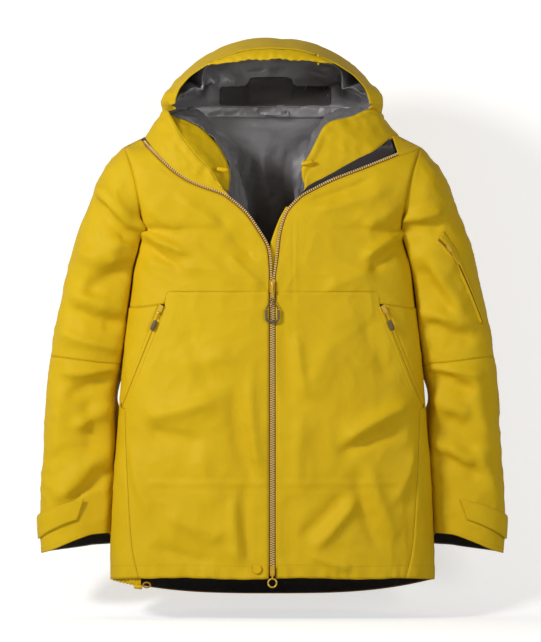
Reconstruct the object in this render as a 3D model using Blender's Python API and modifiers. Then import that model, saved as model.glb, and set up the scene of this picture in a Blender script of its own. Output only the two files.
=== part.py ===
"""Hooded hardshell jacket, upright and filled as if worn.

Metres. +Z up, the wearer faces -Y, the wearer's left side is +X.
The origin is at the hanger loop, inside the back of the neck.
"""

import math

import bmesh
import bpy
import numpy as np
from mathutils import Matrix, Vector
from mathutils.bvhtree import BVHTree

MM = 0.001

# --- body shell -----------------------------------------------------------
# (height, half width), (height, depth from the side plane), all in mm
HALF_WIDTH = [
    (-800, 268.0), (-771, 267.0), (-726, 267.0), (-667, 265.0), (-608, 262.0),
    (-549, 257.5), (-499, 253.5), (-437, 249.0), (-360, 241.0), (-319, 236.5),
    (-266, 230.0), (-217, 220.0), (-193, 214.0), (-173, 215.5), (-135, 222.5),
    (-96, 231.5), (-58, 244.0), (0, 266.0),
]
FRONT_DEPTH = [(-800, 86.0), (-280, 86.0), (-200, 84.0), (-120, 76.0), (-50, 66.0)]
BACK_DEPTH = [(-800, 90.0), (-500, 88.0), (-250, 92.0), (-120, 94.0), (0, 88.0)]
SECTION_POWER = 2.6
SHOULDER_LINE = [
    (0, 30.0), (60, 27.0), (100, 21.5), (135, 7.0), (165, -9.0), (196, -33.0),
    (214, -43.0), (244, -58.0), (270, -71.0),
]
SHOULDER_ROLL = 120.0
ARMHOLE_Z = -125.0
ARMHOLE_HALF_HEIGHT = 67.0
ARMHOLE_HALF_DEPTH = 58.0

SHELL_THICK = 1.0
LINING_THICK = 0.6
LINING_INSET = 3.2
SEAM_GAP = 0.5

# --- front opening --------------------------------------------------------
FRONT_HEM_Z = -767.0
BACK_HEM_Z = -797.0
SIDE_HEM_Z = -771.0
CHEST_SEAM_Z = -298.0
UNDERARM_SEAM_Z = -323.0
ZIP_BOTTOM_Z = -757.0
ZIP_OPEN_Z = -276.0
ZIP_CENTRE_GAP = 0.9
CHAIN_WIDTH = 3.0
CHAIN_THICK = 2.2
TAPE_EDGE = 10.0
# open zip edges, (across, height)
OPEN_EDGE_RIGHT = [
    (2, -248), (6, -222), (20, -197), (42, -166), (71, -141), (86, -133),
    (117, -122), (141, -111), (165, -94), (190, -70), (210, -48),
]
OPEN_EDGE_LEFT = [
    (6, -240), (11, -200), (22, -166), (43, -142), (60, -131), (101, -111),
    (145, -94), (160, -88), (180, -80), (202, -71), (206, -69),
]
CHIN_GUARD_TOP = [
    (52, -131), (62, -121.5), (92, -106), (127, -86), (145, -76.5), (169, -64),
    (193, -45),
]

# --- collar and hood, (x, y, z) -------------------------------------------
COLLAR_LEFT_RIM = [
    (50, -73, -108), (49, -75, -92), (60, -74, -73), (75, -70, -43),
    (86, -64, -24), (104, -56, -15), (130, -46, -9), (156, -32, 2),
]
COLLAR_RIGHT_BASE = [
    (72, -138.5), (87, -130.5), (118, -119.5), (142, -108.5), (165.5, -91.5),
    (190, -67.5), (207, -47),
]
COLLAR_RIGHT_RIM = [
    (86, -78, -121), (92, -79, -112), (105, -78, -94), (122, -75, -77),
    (137, -70, -58), (150, -62, -40), (164, -50, -15), (174, -34, 2),
]
FACING_RIGHT_INNER = [
    (72, -60, -133), (70, -56, -111), (74, -50, -85), (88, -44, -59),
    (109, -38, -35), (127, -32, -22), (148, -26, -14), (166, -20, -6),
]
COLLAR_BACK_BASE = [(209, 1.5, -41), (197, 22, -33), (165, 42, -17), (136, 52, -6.5)]
COLLAR_BACK_TOP = [(179, 3, -2.5), (172, 26, -3), (147, 44, -3)]
HOOD_STATIONS = [
    [(0, 67.5, 2.5), (0, 112, 45), (0, 98, 98), (0, 25, 123), (0, -86, 102)],
    [(50, 66, 2.5), (58, 108, 45), (62, 92, 94), (58, 20, 117), (46, -85, 98)],
    [(100, 61, 2), (113, 97, 42), (119, 74, 80), (112, 10, 92), (88, -80, 84)],
    [(147, 45.5, -1), (159, 66, 26), (163, 44, 48), (152, 0, 58), (128, -68, 62)],
    [(173, 26.5, -1), (179, 28, 16), (179, 10, 28), (173, -18, 34), (150, -55, 40)],
    [(180, 3, -0.5), (182, -1, 10), (181, -10, 16), (174, -26, 20), (158, -44, 22)],
    [(159, -31, 4.5), (164, -31, 7), (165, -33, 9), (163, -37, 11), (160, -40, 12)],
]
BRIM_EDGE = [
    (-90, -86, 75), (-62, -94, 79), (-30, -99, 82), (0, -101, 83),
    (30, -99, 82), (60, -93, 80), (86, -87, 77),
]

# --- sleeves: outer point (x, z), inner point (x, z), depth, middle y, tilt
# tilt raises the front of a ring and drops its back, most at the inner side
UPPER_RINGS = [
    (247.0, -58.0, 216.5, -192.5, 58.0, 0.0, 0.0),
    (270.0, -84.0, 224.5, -214.0, 62.0, 4.0, 0.0),
    (288.0, -113.0, 230.5, -240.0, 62.0, 8.0, 0.0),
    (304.0, -159.0, 235.5, -266.0, 60.0, 12.0, 0.0),
    (325.0, -213.0, 241.0, -300.0, 58.0, 15.0, 0.0),
    (343.0, -283.0, 246.0, -345.0, 55.0, 18.0, 0.0),
    (357.0, -345.0, 250.5, -385.0, 52.0, 20.0, 0.0),
    (366.0, -403.0, 256.0, -417.0, 50.0, 22.0, 0.0),
]
FORE_RINGS = [
    (366.6, -404.0, 256.6, -418.0, 50.0, 22.0, 0.0),
    (373.0, -461.0, 265.0, -465.0, 49.0, 24.0, 0.0),
    (377.0, -540.0, 267.0, -540.0, 47.0, 25.0, 0.0),
    (382.0, -620.0, 269.0, -616.0, 44.0, 26.0, 0.0),
    (385.0, -672.0, 270.0, -662.0, 43.0, 26.0, 0.0),
    (382.0, -728.0, 271.0, -704.0, 42.0, 26.0, 9.0),
]
SLEEVE_POWER = 2.2
SLEEVE_SIDES = 22

# --- pocket zips ----------------------------------------------------------
POCKET_TOP = (180.0, -320.0)
POCKET_END = (248.0, -488.0)
POCKET_TAPE_HALF = 6.0

# --- fittings -------------------------------------------------------------
MAIN_SLIDER_Z = -288.0
BOTTOM_SLIDER_Z = -754.0
STUD_POS = (-25.0, -751.0)
STUD_RADIUS = 7.5
RING_RADIUS = 7.0
RING_WIRE = 1.3
TOGGLE_LENGTH = 18.0
TOGGLE_RADIUS = 3.2


def at(rows, value):
    keys = [row[0] for row in rows]
    vals = [row[1] for row in rows]
    return float(np.interp(value, keys, vals))


def material(name, color, rough, metal=0.0):
    mat = bpy.data.materials.new(name)
    mat.use_nodes = True
    shader = mat.node_tree.nodes["Principled BSDF"]
    shader.inputs["Base Color"].default_value = (*color, 1.0)
    shader.inputs["Roughness"].default_value = rough
    shader.inputs["Metallic"].default_value = metal
    mat.diffuse_color = (*color, 1.0)
    return mat


YELLOW = (0.66, 0.45, 0.03)
GREY = (0.17, 0.17, 0.175)
BLACK = (0.03, 0.03, 0.03)
ORANGE = (0.42, 0.17, 0.035)
TAN = (0.50, 0.36, 0.16)
TAUPE = (0.19, 0.14, 0.075)
FINISH = {
    "fabric": (0.7, 0.0),
    "plastic": (0.45, 0.0),
    "metal": (0.35, 0.8),
}


def build_scene():
    for item in list(bpy.data.objects):
        bpy.data.objects.remove(item, do_unlink=True)
    parts = bpy.data.collections.new("hardshell_jacket")
    cutters = bpy.data.collections.new("cutters")
    bpy.context.scene.collection.children.link(parts)
    bpy.context.scene.collection.children.link(cutters)
    return parts, cutters


PARTS, CUTTERS = build_scene()


def add_part(name, mesh, color, kind, origin=(0.0, 0.0, 0.0)):
    """Link a finished mesh, given in millimetres, as a named sub-part."""
    origin = Vector(origin)
    for vert in mesh.vertices:
        vert.co = (vert.co - origin) * MM
    obj = bpy.data.objects.new(name, mesh)
    obj.location = origin * MM
    rough, metal = FINISH[kind]
    mesh.materials.append(material(name + "_mat", color, rough, metal))
    PARTS.objects.link(obj)
    return obj


def grid_mesh(name, grid, loop=False):
    """Quad mesh over a grid of points, wrapped round when loop is set."""
    rows, cols = grid.shape[:2]
    verts = [tuple(point) for row in grid for point in row]
    span = cols if loop else cols - 1
    faces = []
    for i in range(rows - 1):
        for j in range(span):
            k = (j + 1) % cols
            faces.append((i * cols + j, i * cols + k, (i + 1) * cols + k, (i + 1) * cols + j))
    mesh = bpy.data.meshes.new(name)
    mesh.from_pydata(verts, [], faces)
    return mesh


def sheet(name, grid, thick, color, kind="fabric", loop=False):
    """Cloth piece: a surface given thickness evenly to both sides."""
    obj = add_part(name, grid_mesh(name, grid, loop), color, kind)
    mod = obj.modifiers.new("thickness", "SOLIDIFY")
    mod.thickness = thick * MM
    mod.offset = 0.0
    return obj


def grid_normals(grid, loop=False):
    down = np.gradient(grid, axis=0)
    if loop:
        across = np.roll(grid, -1, axis=1) - np.roll(grid, 1, axis=1)
    else:
        across = np.gradient(grid, axis=1)
    normal = np.cross(across, down)
    size = np.linalg.norm(normal, axis=2, keepdims=True)
    return normal / np.maximum(size, 1e-9)


def moved(grid, distance, loop=False, centre=(0.0, 0.0)):
    """Grid moved away from (positive) or towards (negative) the body's middle."""
    normal = grid_normals(grid, loop)
    flat = grid[:, :, :2] - np.array(centre)
    sign = np.sign(np.sum(normal[:, :, :2] * flat))
    return grid + normal * sign * distance


def body_point(x, z, face, lift=0.0):
    """Point of the body shell over (x, z). face is -1 in front, +1 behind."""
    half = at(HALF_WIDTH, z)
    ratio = min(abs(x) / half, 1.0)
    depth = at(FRONT_DEPTH if face < 0 else BACK_DEPTH, z) + lift
    rise = (z - ARMHOLE_Z) / ARMHOLE_HALF_HEIGHT
    edge = ARMHOLE_HALF_DEPTH * math.sqrt(max(0.0, 1.0 - rise * rise))
    full = (1.0 - ratio ** SECTION_POWER) ** (1.0 / SECTION_POWER)
    below = (at(SHOULDER_LINE, abs(x)) - z) / SHOULDER_ROLL
    below = min(max(below, 0.0), 1.0)
    roll = (1.0 - (1.0 - below) ** 2.4) ** (1.0 / 2.4)
    return x, face * (edge + (depth - edge) * full * roll), z


def body_patch(lower, upper, rows, face):
    """Shell surface between two curves of (x, z), point by point."""
    grid = []
    for step in np.linspace(0.0, 1.0, rows + 1):
        line = []
        for (x0, z0), (x1, z1) in zip(lower, upper):
            z = z0 + (z1 - z0) * step
            across0 = x0 / at(HALF_WIDTH, z0)
            across1 = x1 / at(HALF_WIDTH, z1)
            across = across0 + (across1 - across0) * step
            line.append(body_point(across * at(HALF_WIDTH, z), z, face))
        grid.append(line)
    return np.array(grid)


def offset_line(line, distance):
    """Curve of (across, height) moved sideways towards the chest."""
    points = np.array(line, dtype=float)
    run = np.gradient(points, axis=0)
    run /= np.linalg.norm(run, axis=1, keepdims=True)
    side = np.stack([run[:, 1], -run[:, 0]], axis=1)
    return [tuple(p) for p in points + side * distance]


def spread(curve, count):
    """Curve of (x, z) or (x, y, z) resampled evenly by length."""
    points = np.array(curve, dtype=float)
    steps = np.linalg.norm(np.diff(points, axis=0), axis=1)
    run = np.concatenate([[0.0], np.cumsum(steps)])
    want = np.linspace(0.0, run[-1], count)
    return np.stack([np.interp(want, run, col) for col in points.T], axis=1)


def smooth(points, count):
    """Catmull-Rom curve through points, count samples per span."""
    pts = np.array(points, dtype=float)
    ext = np.concatenate([[2 * pts[0] - pts[1]], pts, [2 * pts[-1] - pts[-2]]])
    out = []
    for i in range(1, len(ext) - 2):
        p0, p1, p2, p3 = ext[i - 1:i + 3]
        for t in np.linspace(0.0, 1.0, count, endpoint=False):
            a = 2 * p1 + (p2 - p0) * t
            b = (2 * p0 - 5 * p1 + 4 * p2 - p3) * t * t
            c = (3 * p1 - p0 - 3 * p2 + p3) * t ** 3
            out.append(0.5 * (a + b + c))
    out.append(pts[-1])
    return np.array(out)


def sided(curve, side):
    return [(side * point[0], *point[1:]) for point in curve]


def zip_line(edge):
    """Closed run up the centre, then the open edge."""
    closed = [(ZIP_CENTRE_GAP, z) for z in np.linspace(ZIP_BOTTOM_Z, ZIP_OPEN_Z, 9)]
    return closed + list(edge)


def front_strip(line, near, far, side, thick, name, color, kind="fabric", lift=0.0):
    inner = offset_line(line, near)
    outer = offset_line(line, far)
    grid = []
    for edge in (inner, outer):
        grid.append([body_point(side * x, z, -1, lift) for x, z in edge])
    return sheet(name, np.array(grid), thick, color, kind)


def main_zip(side, word, edge):
    line = zip_line(edge)
    front_strip(line, 0.0, CHAIN_WIDTH, side, CHAIN_THICK, "zip_chain_" + word, TAN, "plastic")
    front_strip(line, CHAIN_WIDTH + SEAM_GAP, TAPE_EDGE, side, SHELL_THICK,
                "zip_tape_" + word, ORANGE)


def pocket_edge(shift):
    """Edge beside the pocket zip, carried on down to the hem."""
    direction = np.array(POCKET_END) - np.array(POCKET_TOP)
    direction /= np.linalg.norm(direction)
    side = np.array([-direction[1], direction[0]])
    top = np.array(POCKET_TOP) + side * shift
    end = np.array(POCKET_END) + side * shift
    return top, end


def chest_panel(side, word, edge):
    top = offset_line([(ZIP_CENTRE_GAP, ZIP_OPEN_Z)] + list(edge), TAPE_EDGE + SEAM_GAP)
    top[0] = (TAPE_EDGE + SEAM_GAP + ZIP_CENTRE_GAP, ZIP_OPEN_Z)
    last = top[-1]
    top.append(((last[0] + 243.5) / 2, -53.5))
    top.append((243.3, -59.0))
    seam = [(top[0][0], CHEST_SEAM_Z), (174.0, CHEST_SEAM_Z)]
    low = [tuple(p) for p in spread(seam, len(top) - 4)]
    low += [(186.0, -309.0), (204.0, -321.5), (220.0, UNDERARM_SEAM_Z)]
    low.append((at(HALF_WIDTH, UNDERARM_SEAM_Z), UNDERARM_SEAM_Z))
    low = [(x, z + SEAM_GAP) for x, z in low]
    grid = body_patch(sided(low, side), sided(top, side), 11, -1)
    sheet("chest_panel_" + word, grid, SHELL_THICK, YELLOW)


def lower_panels(side, word):
    """Front panel up to the pocket zip, and the side panel beyond it."""
    inner_top, inner_end = pocket_edge(-POCKET_TAPE_HALF - SEAM_GAP)
    outer_top, outer_end = pocket_edge(POCKET_TAPE_HALF + SEAM_GAP)
    heights = list(np.linspace(inner_top[1], inner_end[1], 7))
    heights += list(np.linspace(inner_end[1], FRONT_HEM_Z, 10))[1:]
    edge = []
    for z in heights:
        if z >= inner_end[1]:
            edge.append(float(np.interp(z, [inner_end[1], inner_top[1]], [inner_end[0], inner_top[0]])))
        else:
            ratio = inner_end[0] / at(HALF_WIDTH, inner_end[1])
            edge.append(ratio * at(HALF_WIDTH, z))
    zip_side = TAPE_EDGE + SEAM_GAP + ZIP_CENTRE_GAP
    grid = []
    first = [CHEST_SEAM_Z - SEAM_GAP] + heights
    edges = [170.0] + edge
    for z, far in zip(first, edges):
        line = []
        for step in np.sin(np.linspace(0.0, 1.0, 11) * math.pi / 2):
            x = zip_side + (far - zip_side) * step
            line.append(body_point(side * x, z, -1))
        grid.append(line)
    sheet("front_panel_" + word, np.array(grid), SHELL_THICK, YELLOW)
    grid = []
    rows = list(np.linspace(UNDERARM_SEAM_Z - SEAM_GAP, outer_end[1], 8))
    rows += list(np.linspace(outer_end[1], SIDE_HEM_Z, 10))[1:]
    for z in rows:
        if z >= outer_end[1]:
            near = float(np.interp(z, [outer_end[1], outer_top[1]], [outer_end[0], outer_top[0]]))
            near = min(near, at(HALF_WIDTH, z) - 3.0)
        else:
            ratio = inner_end[0] / at(HALF_WIDTH, inner_end[1])
            near = ratio * at(HALF_WIDTH, z) + 2 * SEAM_GAP
        half = at(HALF_WIDTH, z)
        start = math.asin(near / half)
        turn = np.linspace(start, math.pi / 2, 6)
        grid.append([body_point(side * half * math.sin(a), z, -1) for a in turn])
    grid = np.array(grid)
    grid[:, -1, 1] -= 1.2
    sheet("side_panel_" + word, grid, SHELL_THICK, YELLOW)


def back_panel():
    top = [
        (243.3, -59.0), (229, -52.3), (214, -44.6), (196, -35.5), (165, -20),
        (135, -9.5), (100, -3), (66, -0.5), (33, 0), (0, 0),
    ]
    top = sided(top, -1) + sided(top[-2::-1], 1)
    ratios = np.sin(np.linspace(-1.0, 1.0, len(top)) * math.pi / 2)
    low = []
    for ratio in ratios:
        z = BACK_HEM_Z + (SIDE_HEM_Z - BACK_HEM_Z) * abs(ratio) ** 3
        low.append((ratio * at(HALF_WIDTH, z), z))
    grid = body_patch(low, top, 18, 1)
    for col in (0, -1):
        below = grid[:, col, 2] < ARMHOLE_Z - ARMHOLE_HALF_HEIGHT
        grid[below, col, 1] += 1.2
    sheet("back_panel", grid, SHELL_THICK, YELLOW)
    inner = moved(grid, -LINING_INSET)[2:, 1:-1]
    sheet("back_lining", inner, LINING_THICK, GREY)
    facing = moved(grid, -LINING_INSET)[:3, 1:-1].copy()
    facing[-1] = facing[1] + (facing[2] - facing[1]) * 0.9
    sheet("hem_facing", facing[[0, 2]], LINING_THICK, BLACK)


def storm_flap():
    rows = [
        (-752, -13, 21), (-600, -13, 21), (-450, -13, 21), (-290, -13, 21),
        (-250, -9, 24), (-218, -3, 27), (-181, 10, 36), (-158, 22, 46),
    ]
    grid = []
    for z, left, right in rows:
        grid.append([body_point(x, z, -1, -5.0) for x in np.linspace(left, right, 4)])
    sheet("storm_flap", np.array(grid), LINING_THICK, YELLOW)


def chin_guard():
    low = offset_line(OPEN_EDGE_LEFT[3:10], -1.0)
    grid = []
    for step in (0.0, 0.5, 1.0):
        line = []
        for (x0, z0), (x1, z1) in zip(low, CHIN_GUARD_TOP):
            line.append(body_point(x0 + (x1 - x0) * step, z0 + (z1 - z0) * step, -1, 1.0))
        grid.append(line)
    sheet("chin_guard", np.array(grid), SHELL_THICK, BLACK)


def ruled(lower, upper, rows, bulge):
    """Surface between two 3-D curves, bowed outwards in the middle."""
    lower = np.array(lower, dtype=float)
    upper = np.array(upper, dtype=float)
    grid = []
    for step in np.linspace(0.0, 1.0, rows + 1):
        line = lower + (upper - lower) * step
        out = line * np.array([1.0, 1.0, 0.0])
        out /= np.linalg.norm(out, axis=1, keepdims=True)
        grid.append(line + out * bulge * math.sin(math.pi * step))
    return np.array(grid)


def collar(side, word, base, rim):
    front = []
    for x, z in base:
        point = body_point(x, z, -1, 1.0)
        front.append((point[0], point[1], point[2]))
    low = front + COLLAR_BACK_BASE
    top = rim + COLLAR_BACK_TOP
    grid = ruled(sided(low, side), sided(top, side), 4, 5.0)
    sheet("collar_" + word, grid, SHELL_THICK, YELLOW)
    return grid


def collars():
    base = [(x + 0.3, z + 1.2) for x, z in CHIN_GUARD_TOP]
    left = collar(1, "left", base, COLLAR_LEFT_RIM)
    sheet("collar_facing_left", moved(left, -LINING_INSET)[:, 1:-4], LINING_THICK, GREY)
    collar(-1, "right", COLLAR_RIGHT_BASE, COLLAR_RIGHT_RIM)
    rim = [(x - 3.0, y + 3.0, z) for x, y, z in COLLAR_RIGHT_RIM]
    grid = ruled(sided(rim, -1), sided(FACING_RIGHT_INNER, -1), 3, 3.0)
    sheet("collar_facing_right", grid, LINING_THICK, GREY)


def hood():
    half = np.array([smooth(station, 3) for station in HOOD_STATIONS])
    half = np.stack([smooth(half[:, row], 2) for row in range(half.shape[1])])
    mirror = half[:, :0:-1].copy()
    mirror[:, :, 0] *= -1
    grid = np.concatenate([mirror, half], axis=1)
    sheet("hood_shell", grid, SHELL_THICK, YELLOW)
    inner = moved(grid, -LINING_INSET)
    sheet("hood_lining", inner[:-1, 2:-2], LINING_THICK, GREY)
    rim = grid[-1]
    keep = np.abs(rim[:, 0]) < 100.0
    top = spread(rim[keep], 9)
    top[:, 2] -= 1.6
    top[:, 1] -= 1.5
    low = spread(BRIM_EDGE, 9)
    sheet("hood_peak", ruled(low, top, 2, 2.0), SHELL_THICK, YELLOW)
    return inner


def neck_label(inner):
    """Plain dark patch on the hood lining, stepped at the top."""
    rows, cols = inner.shape[:2]
    verts = [tuple(p) for row in inner for p in row]
    faces = []
    for i in range(rows - 1):
        for j in range(cols - 1):
            k = i * cols + j
            faces.append((k, k + 1, k + cols + 1, k + cols))
    tree = BVHTree.FromPolygons(verts, faces)
    columns = [(-86, 12, 42), (-44, 11, 44), (-40, 11, 58), (0, 11, 59), (32, 11, 58),
               (36, 11, 44), (96, 13, 42)]
    grid = []
    for step in np.linspace(0.0, 1.0, 5):
        line = []
        for x, low, high in columns:
            z = low + (high - low) * step
            hit = tree.ray_cast(Vector((x, 0.0, z)), Vector((0.0, 1.0, 0.0)))[0]
            line.append((x, hit.y - 4.0, z))
        grid.append(line)
    sheet("neck_label", np.array(grid), LINING_THICK, BLACK)


def ring_points(ring, count=SLEEVE_SIDES):
    x0, z0, x1, z1, depth, mid, tilt = ring
    points = []
    for turn in np.linspace(0.0, 2 * math.pi, count, endpoint=False):
        c = math.cos(turn)
        s = math.sin(turn)
        along = math.copysign(abs(c) ** (2 / SLEEVE_POWER), c)
        out = math.copysign(abs(s) ** (2 / SLEEVE_POWER), s)
        x = (x0 + x1) / 2 + (x0 - x1) / 2 * along
        z = (z0 + z1) / 2 + (z0 - z1) / 2 * along + tilt * out * (1 - along) / 2
        points.append((x, mid - depth * out, z))
    return points


def sleeve_point(rings, place, turn, lift, side):
    """Point on a sleeve: place counts rings, turn 0 outer edge, 90 front."""
    low = min(int(place), len(rings) - 2)
    part = place - low
    a, b = np.array(rings[low]), np.array(rings[low + 1])
    x0, z0, x1, z1, depth, mid = (a + (b - a) * part)[:6]
    c = math.cos(math.radians(turn))
    s = math.sin(math.radians(turn))
    along = math.copysign(abs(c) ** (2 / SLEEVE_POWER), c)
    out = math.copysign(abs(s) ** (2 / SLEEVE_POWER), s)
    half = math.hypot(x0 - x1, z0 - z1) / 2
    grow = 1.0 + lift / half
    x = (x0 + x1) / 2 + (x0 - x1) / 2 * along * grow
    z = (z0 + z1) / 2 + (z0 - z1) / 2 * along * grow
    return side * x, mid - (depth + lift) * out, z


def sleeve(side, word):
    for name, rings in (("upper_sleeve_", UPPER_RINGS), ("forearm_", FORE_RINGS)):
        grid = np.array([sided(ring_points(ring), side) for ring in rings])
        sheet(name + word, grid, SHELL_THICK, YELLOW, loop=True)
    rings = np.array(FORE_RINGS[-2:])
    start = rings[0] + (rings[1] - rings[0]) * 0.35
    inner = []
    for ring in (start, rings[1]):
        x0, z0, x1, z1, depth, mid, tilt = ring
        small = (x0 - 3.5, z0, x1 + 3.5, z1, depth - 3.5, mid, tilt)
        inner.append(sided(ring_points(small), side))
    sheet("cuff_facing_" + word, np.array(inner), LINING_THICK, BLACK, loop=True)


def cuff_tab(side, word):
    """Hook-and-loop strap, sewn at the front of the cuff, free at the outer edge."""
    turns = np.linspace(104.0, -24.0, 11)
    grid = []
    for step in (0.0, 0.5, 1.0):
        line = []
        for turn in turns:
            reach = (turns[0] - turn) / (turns[0] - turns[-1])
            top = 3.42 + 0.50 * min(reach * 1.25, 1.0)
            low = 4.12 + 0.45 * min(reach * 1.5, 1.0) - 0.1 * max(reach - 0.8, 0.0)
            line.append(sleeve_point(FORE_RINGS, top + (low - top) * step, turn, 2.6, side))
        grid.append(line)
    obj = sheet("cuff_tab_" + word, np.array(grid), 1.8, YELLOW)
    hinge = Vector(grid[1][0]) * MM
    obj.data.transform(Matrix.Translation(-hinge))
    obj.location = hinge


def box(name, size, centre):
    bm = bmesh.new()
    bmesh.ops.create_cube(bm, size=1.0)
    bmesh.ops.scale(bm, vec=size, verts=bm.verts)
    bmesh.ops.translate(bm, vec=centre, verts=bm.verts)
    mesh = bpy.data.meshes.new(name)
    bm.to_mesh(mesh)
    bm.free()
    return mesh


def cylinder(name, radius, length, axis, centre, sides=16):
    bm = bmesh.new()
    bmesh.ops.create_cone(bm, cap_ends=True, segments=sides, radius1=radius,
                          radius2=radius, depth=length)
    turn = Vector((0, 0, 1)).rotation_difference(Vector(axis)).to_matrix()
    bmesh.ops.rotate(bm, cent=(0, 0, 0), matrix=turn, verts=bm.verts)
    bmesh.ops.translate(bm, vec=centre, verts=bm.verts)
    mesh = bpy.data.meshes.new(name)
    bm.to_mesh(mesh)
    bm.free()
    return mesh


def wire(name, points, radius, closed, resolution=2):
    """Round cord or wire through points, as a mesh."""
    curve = bpy.data.curves.new(name, "CURVE")
    curve.dimensions = "3D"
    curve.bevel_depth = radius
    curve.bevel_resolution = resolution
    curve.use_fill_caps = not closed
    spline = curve.splines.new("POLY")
    spline.points.add(len(points) - 1)
    for point, place in zip(spline.points, points):
        point.co = (*place, 1.0)
    spline.use_cyclic_u = closed
    holder = bpy.data.objects.new(name + "_curve", curve)
    CUTTERS.objects.link(holder)
    graph = bpy.context.evaluated_depsgraph_get()
    mesh = bpy.data.meshes.new_from_object(holder.evaluated_get(graph))
    bpy.data.objects.remove(holder, do_unlink=True)
    bm = bmesh.new()
    bm.from_mesh(mesh)
    bmesh.ops.remove_doubles(bm, verts=bm.verts, dist=0.001)
    bm.to_mesh(mesh)
    bm.free()
    return mesh


def union(name, meshes):
    """One mesh from overlapping solids."""
    base = bpy.data.objects.new(name + "_base", meshes[0])
    CUTTERS.objects.link(base)
    for index, mesh in enumerate(meshes[1:]):
        tool = bpy.data.objects.new(name + "_add" + str(index), mesh)
        CUTTERS.objects.link(tool)
        mod = base.modifiers.new("add", "BOOLEAN")
        mod.operation = "UNION"
        mod.solver = "EXACT"
        mod.object = tool
    graph = bpy.context.evaluated_depsgraph_get()
    joined = bpy.data.meshes.new_from_object(base.evaluated_get(graph))
    for obj in list(CUTTERS.objects):
        bpy.data.objects.remove(obj, do_unlink=True)
    joined.name = name
    return joined


def zip_frame(spot, up, out):
    """Frame with Z up the zip, -Y away from the cloth, at a point."""
    z = Vector(up).normalized()
    y = -Vector(out)
    y = (y - z * y.dot(z)).normalized()
    x = y.cross(z)
    frame = Matrix((x, y, z)).transposed().to_4x4()
    frame.translation = Vector(spot)
    return frame


def slider(name, frame, size, color, through):
    """Zip slider body. through adds the wedge and the back plate."""
    solids = [
        box("plate", (9.5 * size, 1.6, 19 * size), (0, -2.6, 0)),
        box("cheek_l", (1.1 * size, 3.4, 5 * size), (-2.6 * size, -4.6, -9.0 * size)),
        box("cheek_r", (1.1 * size, 3.4, 5 * size), (2.6 * size, -4.6, -9.0 * size)),
    ]
    if through:
        solids.append(box("wedge", (0.9, 6.0, 5.0), (0, 0, 5.5 * size)))
        solids.append(box("rear", (9.5 * size, 1.2, 17 * size), (0, 2.6, 0)))
    mesh = union(name, solids)
    mesh.transform(frame)
    return add_part(name, mesh, color, "metal", frame.translation)


def pull_pivot(frame, size):
    return frame @ Vector((0, -5.4, -9.6 * size))


def pull_tab(name, frame, size, length, color):
    """Flat metal pull with its barrel between the slider's cheeks."""
    drop = length / 2
    solids = [
        cylinder("barrel", 1.5, 3.3 * size, (1, 0, 0), (0, 0, 0), 12),
        box("blade", (3.1 * size, 1.3, length), (0, 0, -drop)),
    ]
    mesh = union(name, solids)
    pivot = pull_pivot(frame, size)
    place = frame.copy()
    place.translation = pivot
    mesh.transform(place)
    return add_part(name, mesh, color, "metal", pivot)


def pull_grip(name, frame, size, start, width, height, color):
    """U-shaped moulded grip on a short cord, below the metal pull."""
    pivot = pull_pivot(frame, size)
    place = frame.copy()
    place.translation = pivot
    half = width / 2
    rise = 0.75 * height
    path = [(-half, 0, start - 2), (-half, 0, start - rise)]
    for turn in np.linspace(180, 360, 9)[1:-1]:
        path.append((half * math.cos(math.radians(turn)), 0,
                     start - rise + (height - rise) * math.sin(math.radians(turn))))
    path += [(half, 0, start - rise), (half, 0, start - 2)]
    mesh = wire(name, path, 2.2, False)
    mesh.transform(place)
    return add_part(name, mesh, color, "plastic", pivot)


def pull_cord(name, frame, size, start, finish, width):
    """Cord from the metal pull to both ends of the grip."""
    pivot = pull_pivot(frame, size)
    place = frame.copy()
    place.translation = pivot
    half = width / 2
    path = [(-half, 0, finish), (-half * 0.7, 0, finish + 5), (0, 0, start),
            (half * 0.7, 0, finish + 5), (half, 0, finish)]
    mesh = wire(name, path, 1.1, False)
    mesh.transform(place)
    return add_part(name, mesh, TAUPE, "fabric", pivot)


def main_fittings():
    depth = at(FRONT_DEPTH, -500.0)
    top = zip_frame((0, -depth, MAIN_SLIDER_Z), (0, 0, 1), (0, -1, 0))
    slider("main_slider", top, 1.0, YELLOW, True)
    pull_tab("main_pull_tab", top, 1.0, 9.0, BLACK)
    pull_cord("main_pull_cord", top, 1.0, -10.5, -28.0, 20.0)
    pull_grip("main_pull_grip", top, 1.0, -27.0, 20.0, 22.0, TAUPE)
    low = zip_frame((0, -depth, BOTTOM_SLIDER_Z), (0, 0, 1), (0, -1, 0))
    slider("bottom_slider", low, 0.8, YELLOW, True)
    pivot = pull_pivot(low, 0.8)
    path = []
    for turn in np.linspace(0, 2 * math.pi, 20, endpoint=False):
        path.append((RING_RADIUS * math.cos(turn), 0, RING_RADIUS * math.sin(turn)))
    ring = wire("ring", path, RING_WIRE, True)
    ring.transform(Matrix.Translation((0, 0, -12.0)))
    solids = [
        cylinder("barrel", 1.4, 2.6, (1, 0, 0), (0, 0, 0), 12),
        box("neck", (2.4, 1.2, 4.6), (0, 0, -2.9)),
        ring,
    ]
    mesh = union("bottom_ring_pull", solids)
    mesh.transform(Matrix.Translation(pivot))
    add_part("bottom_ring_pull", mesh, YELLOW, "metal", pivot)


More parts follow.
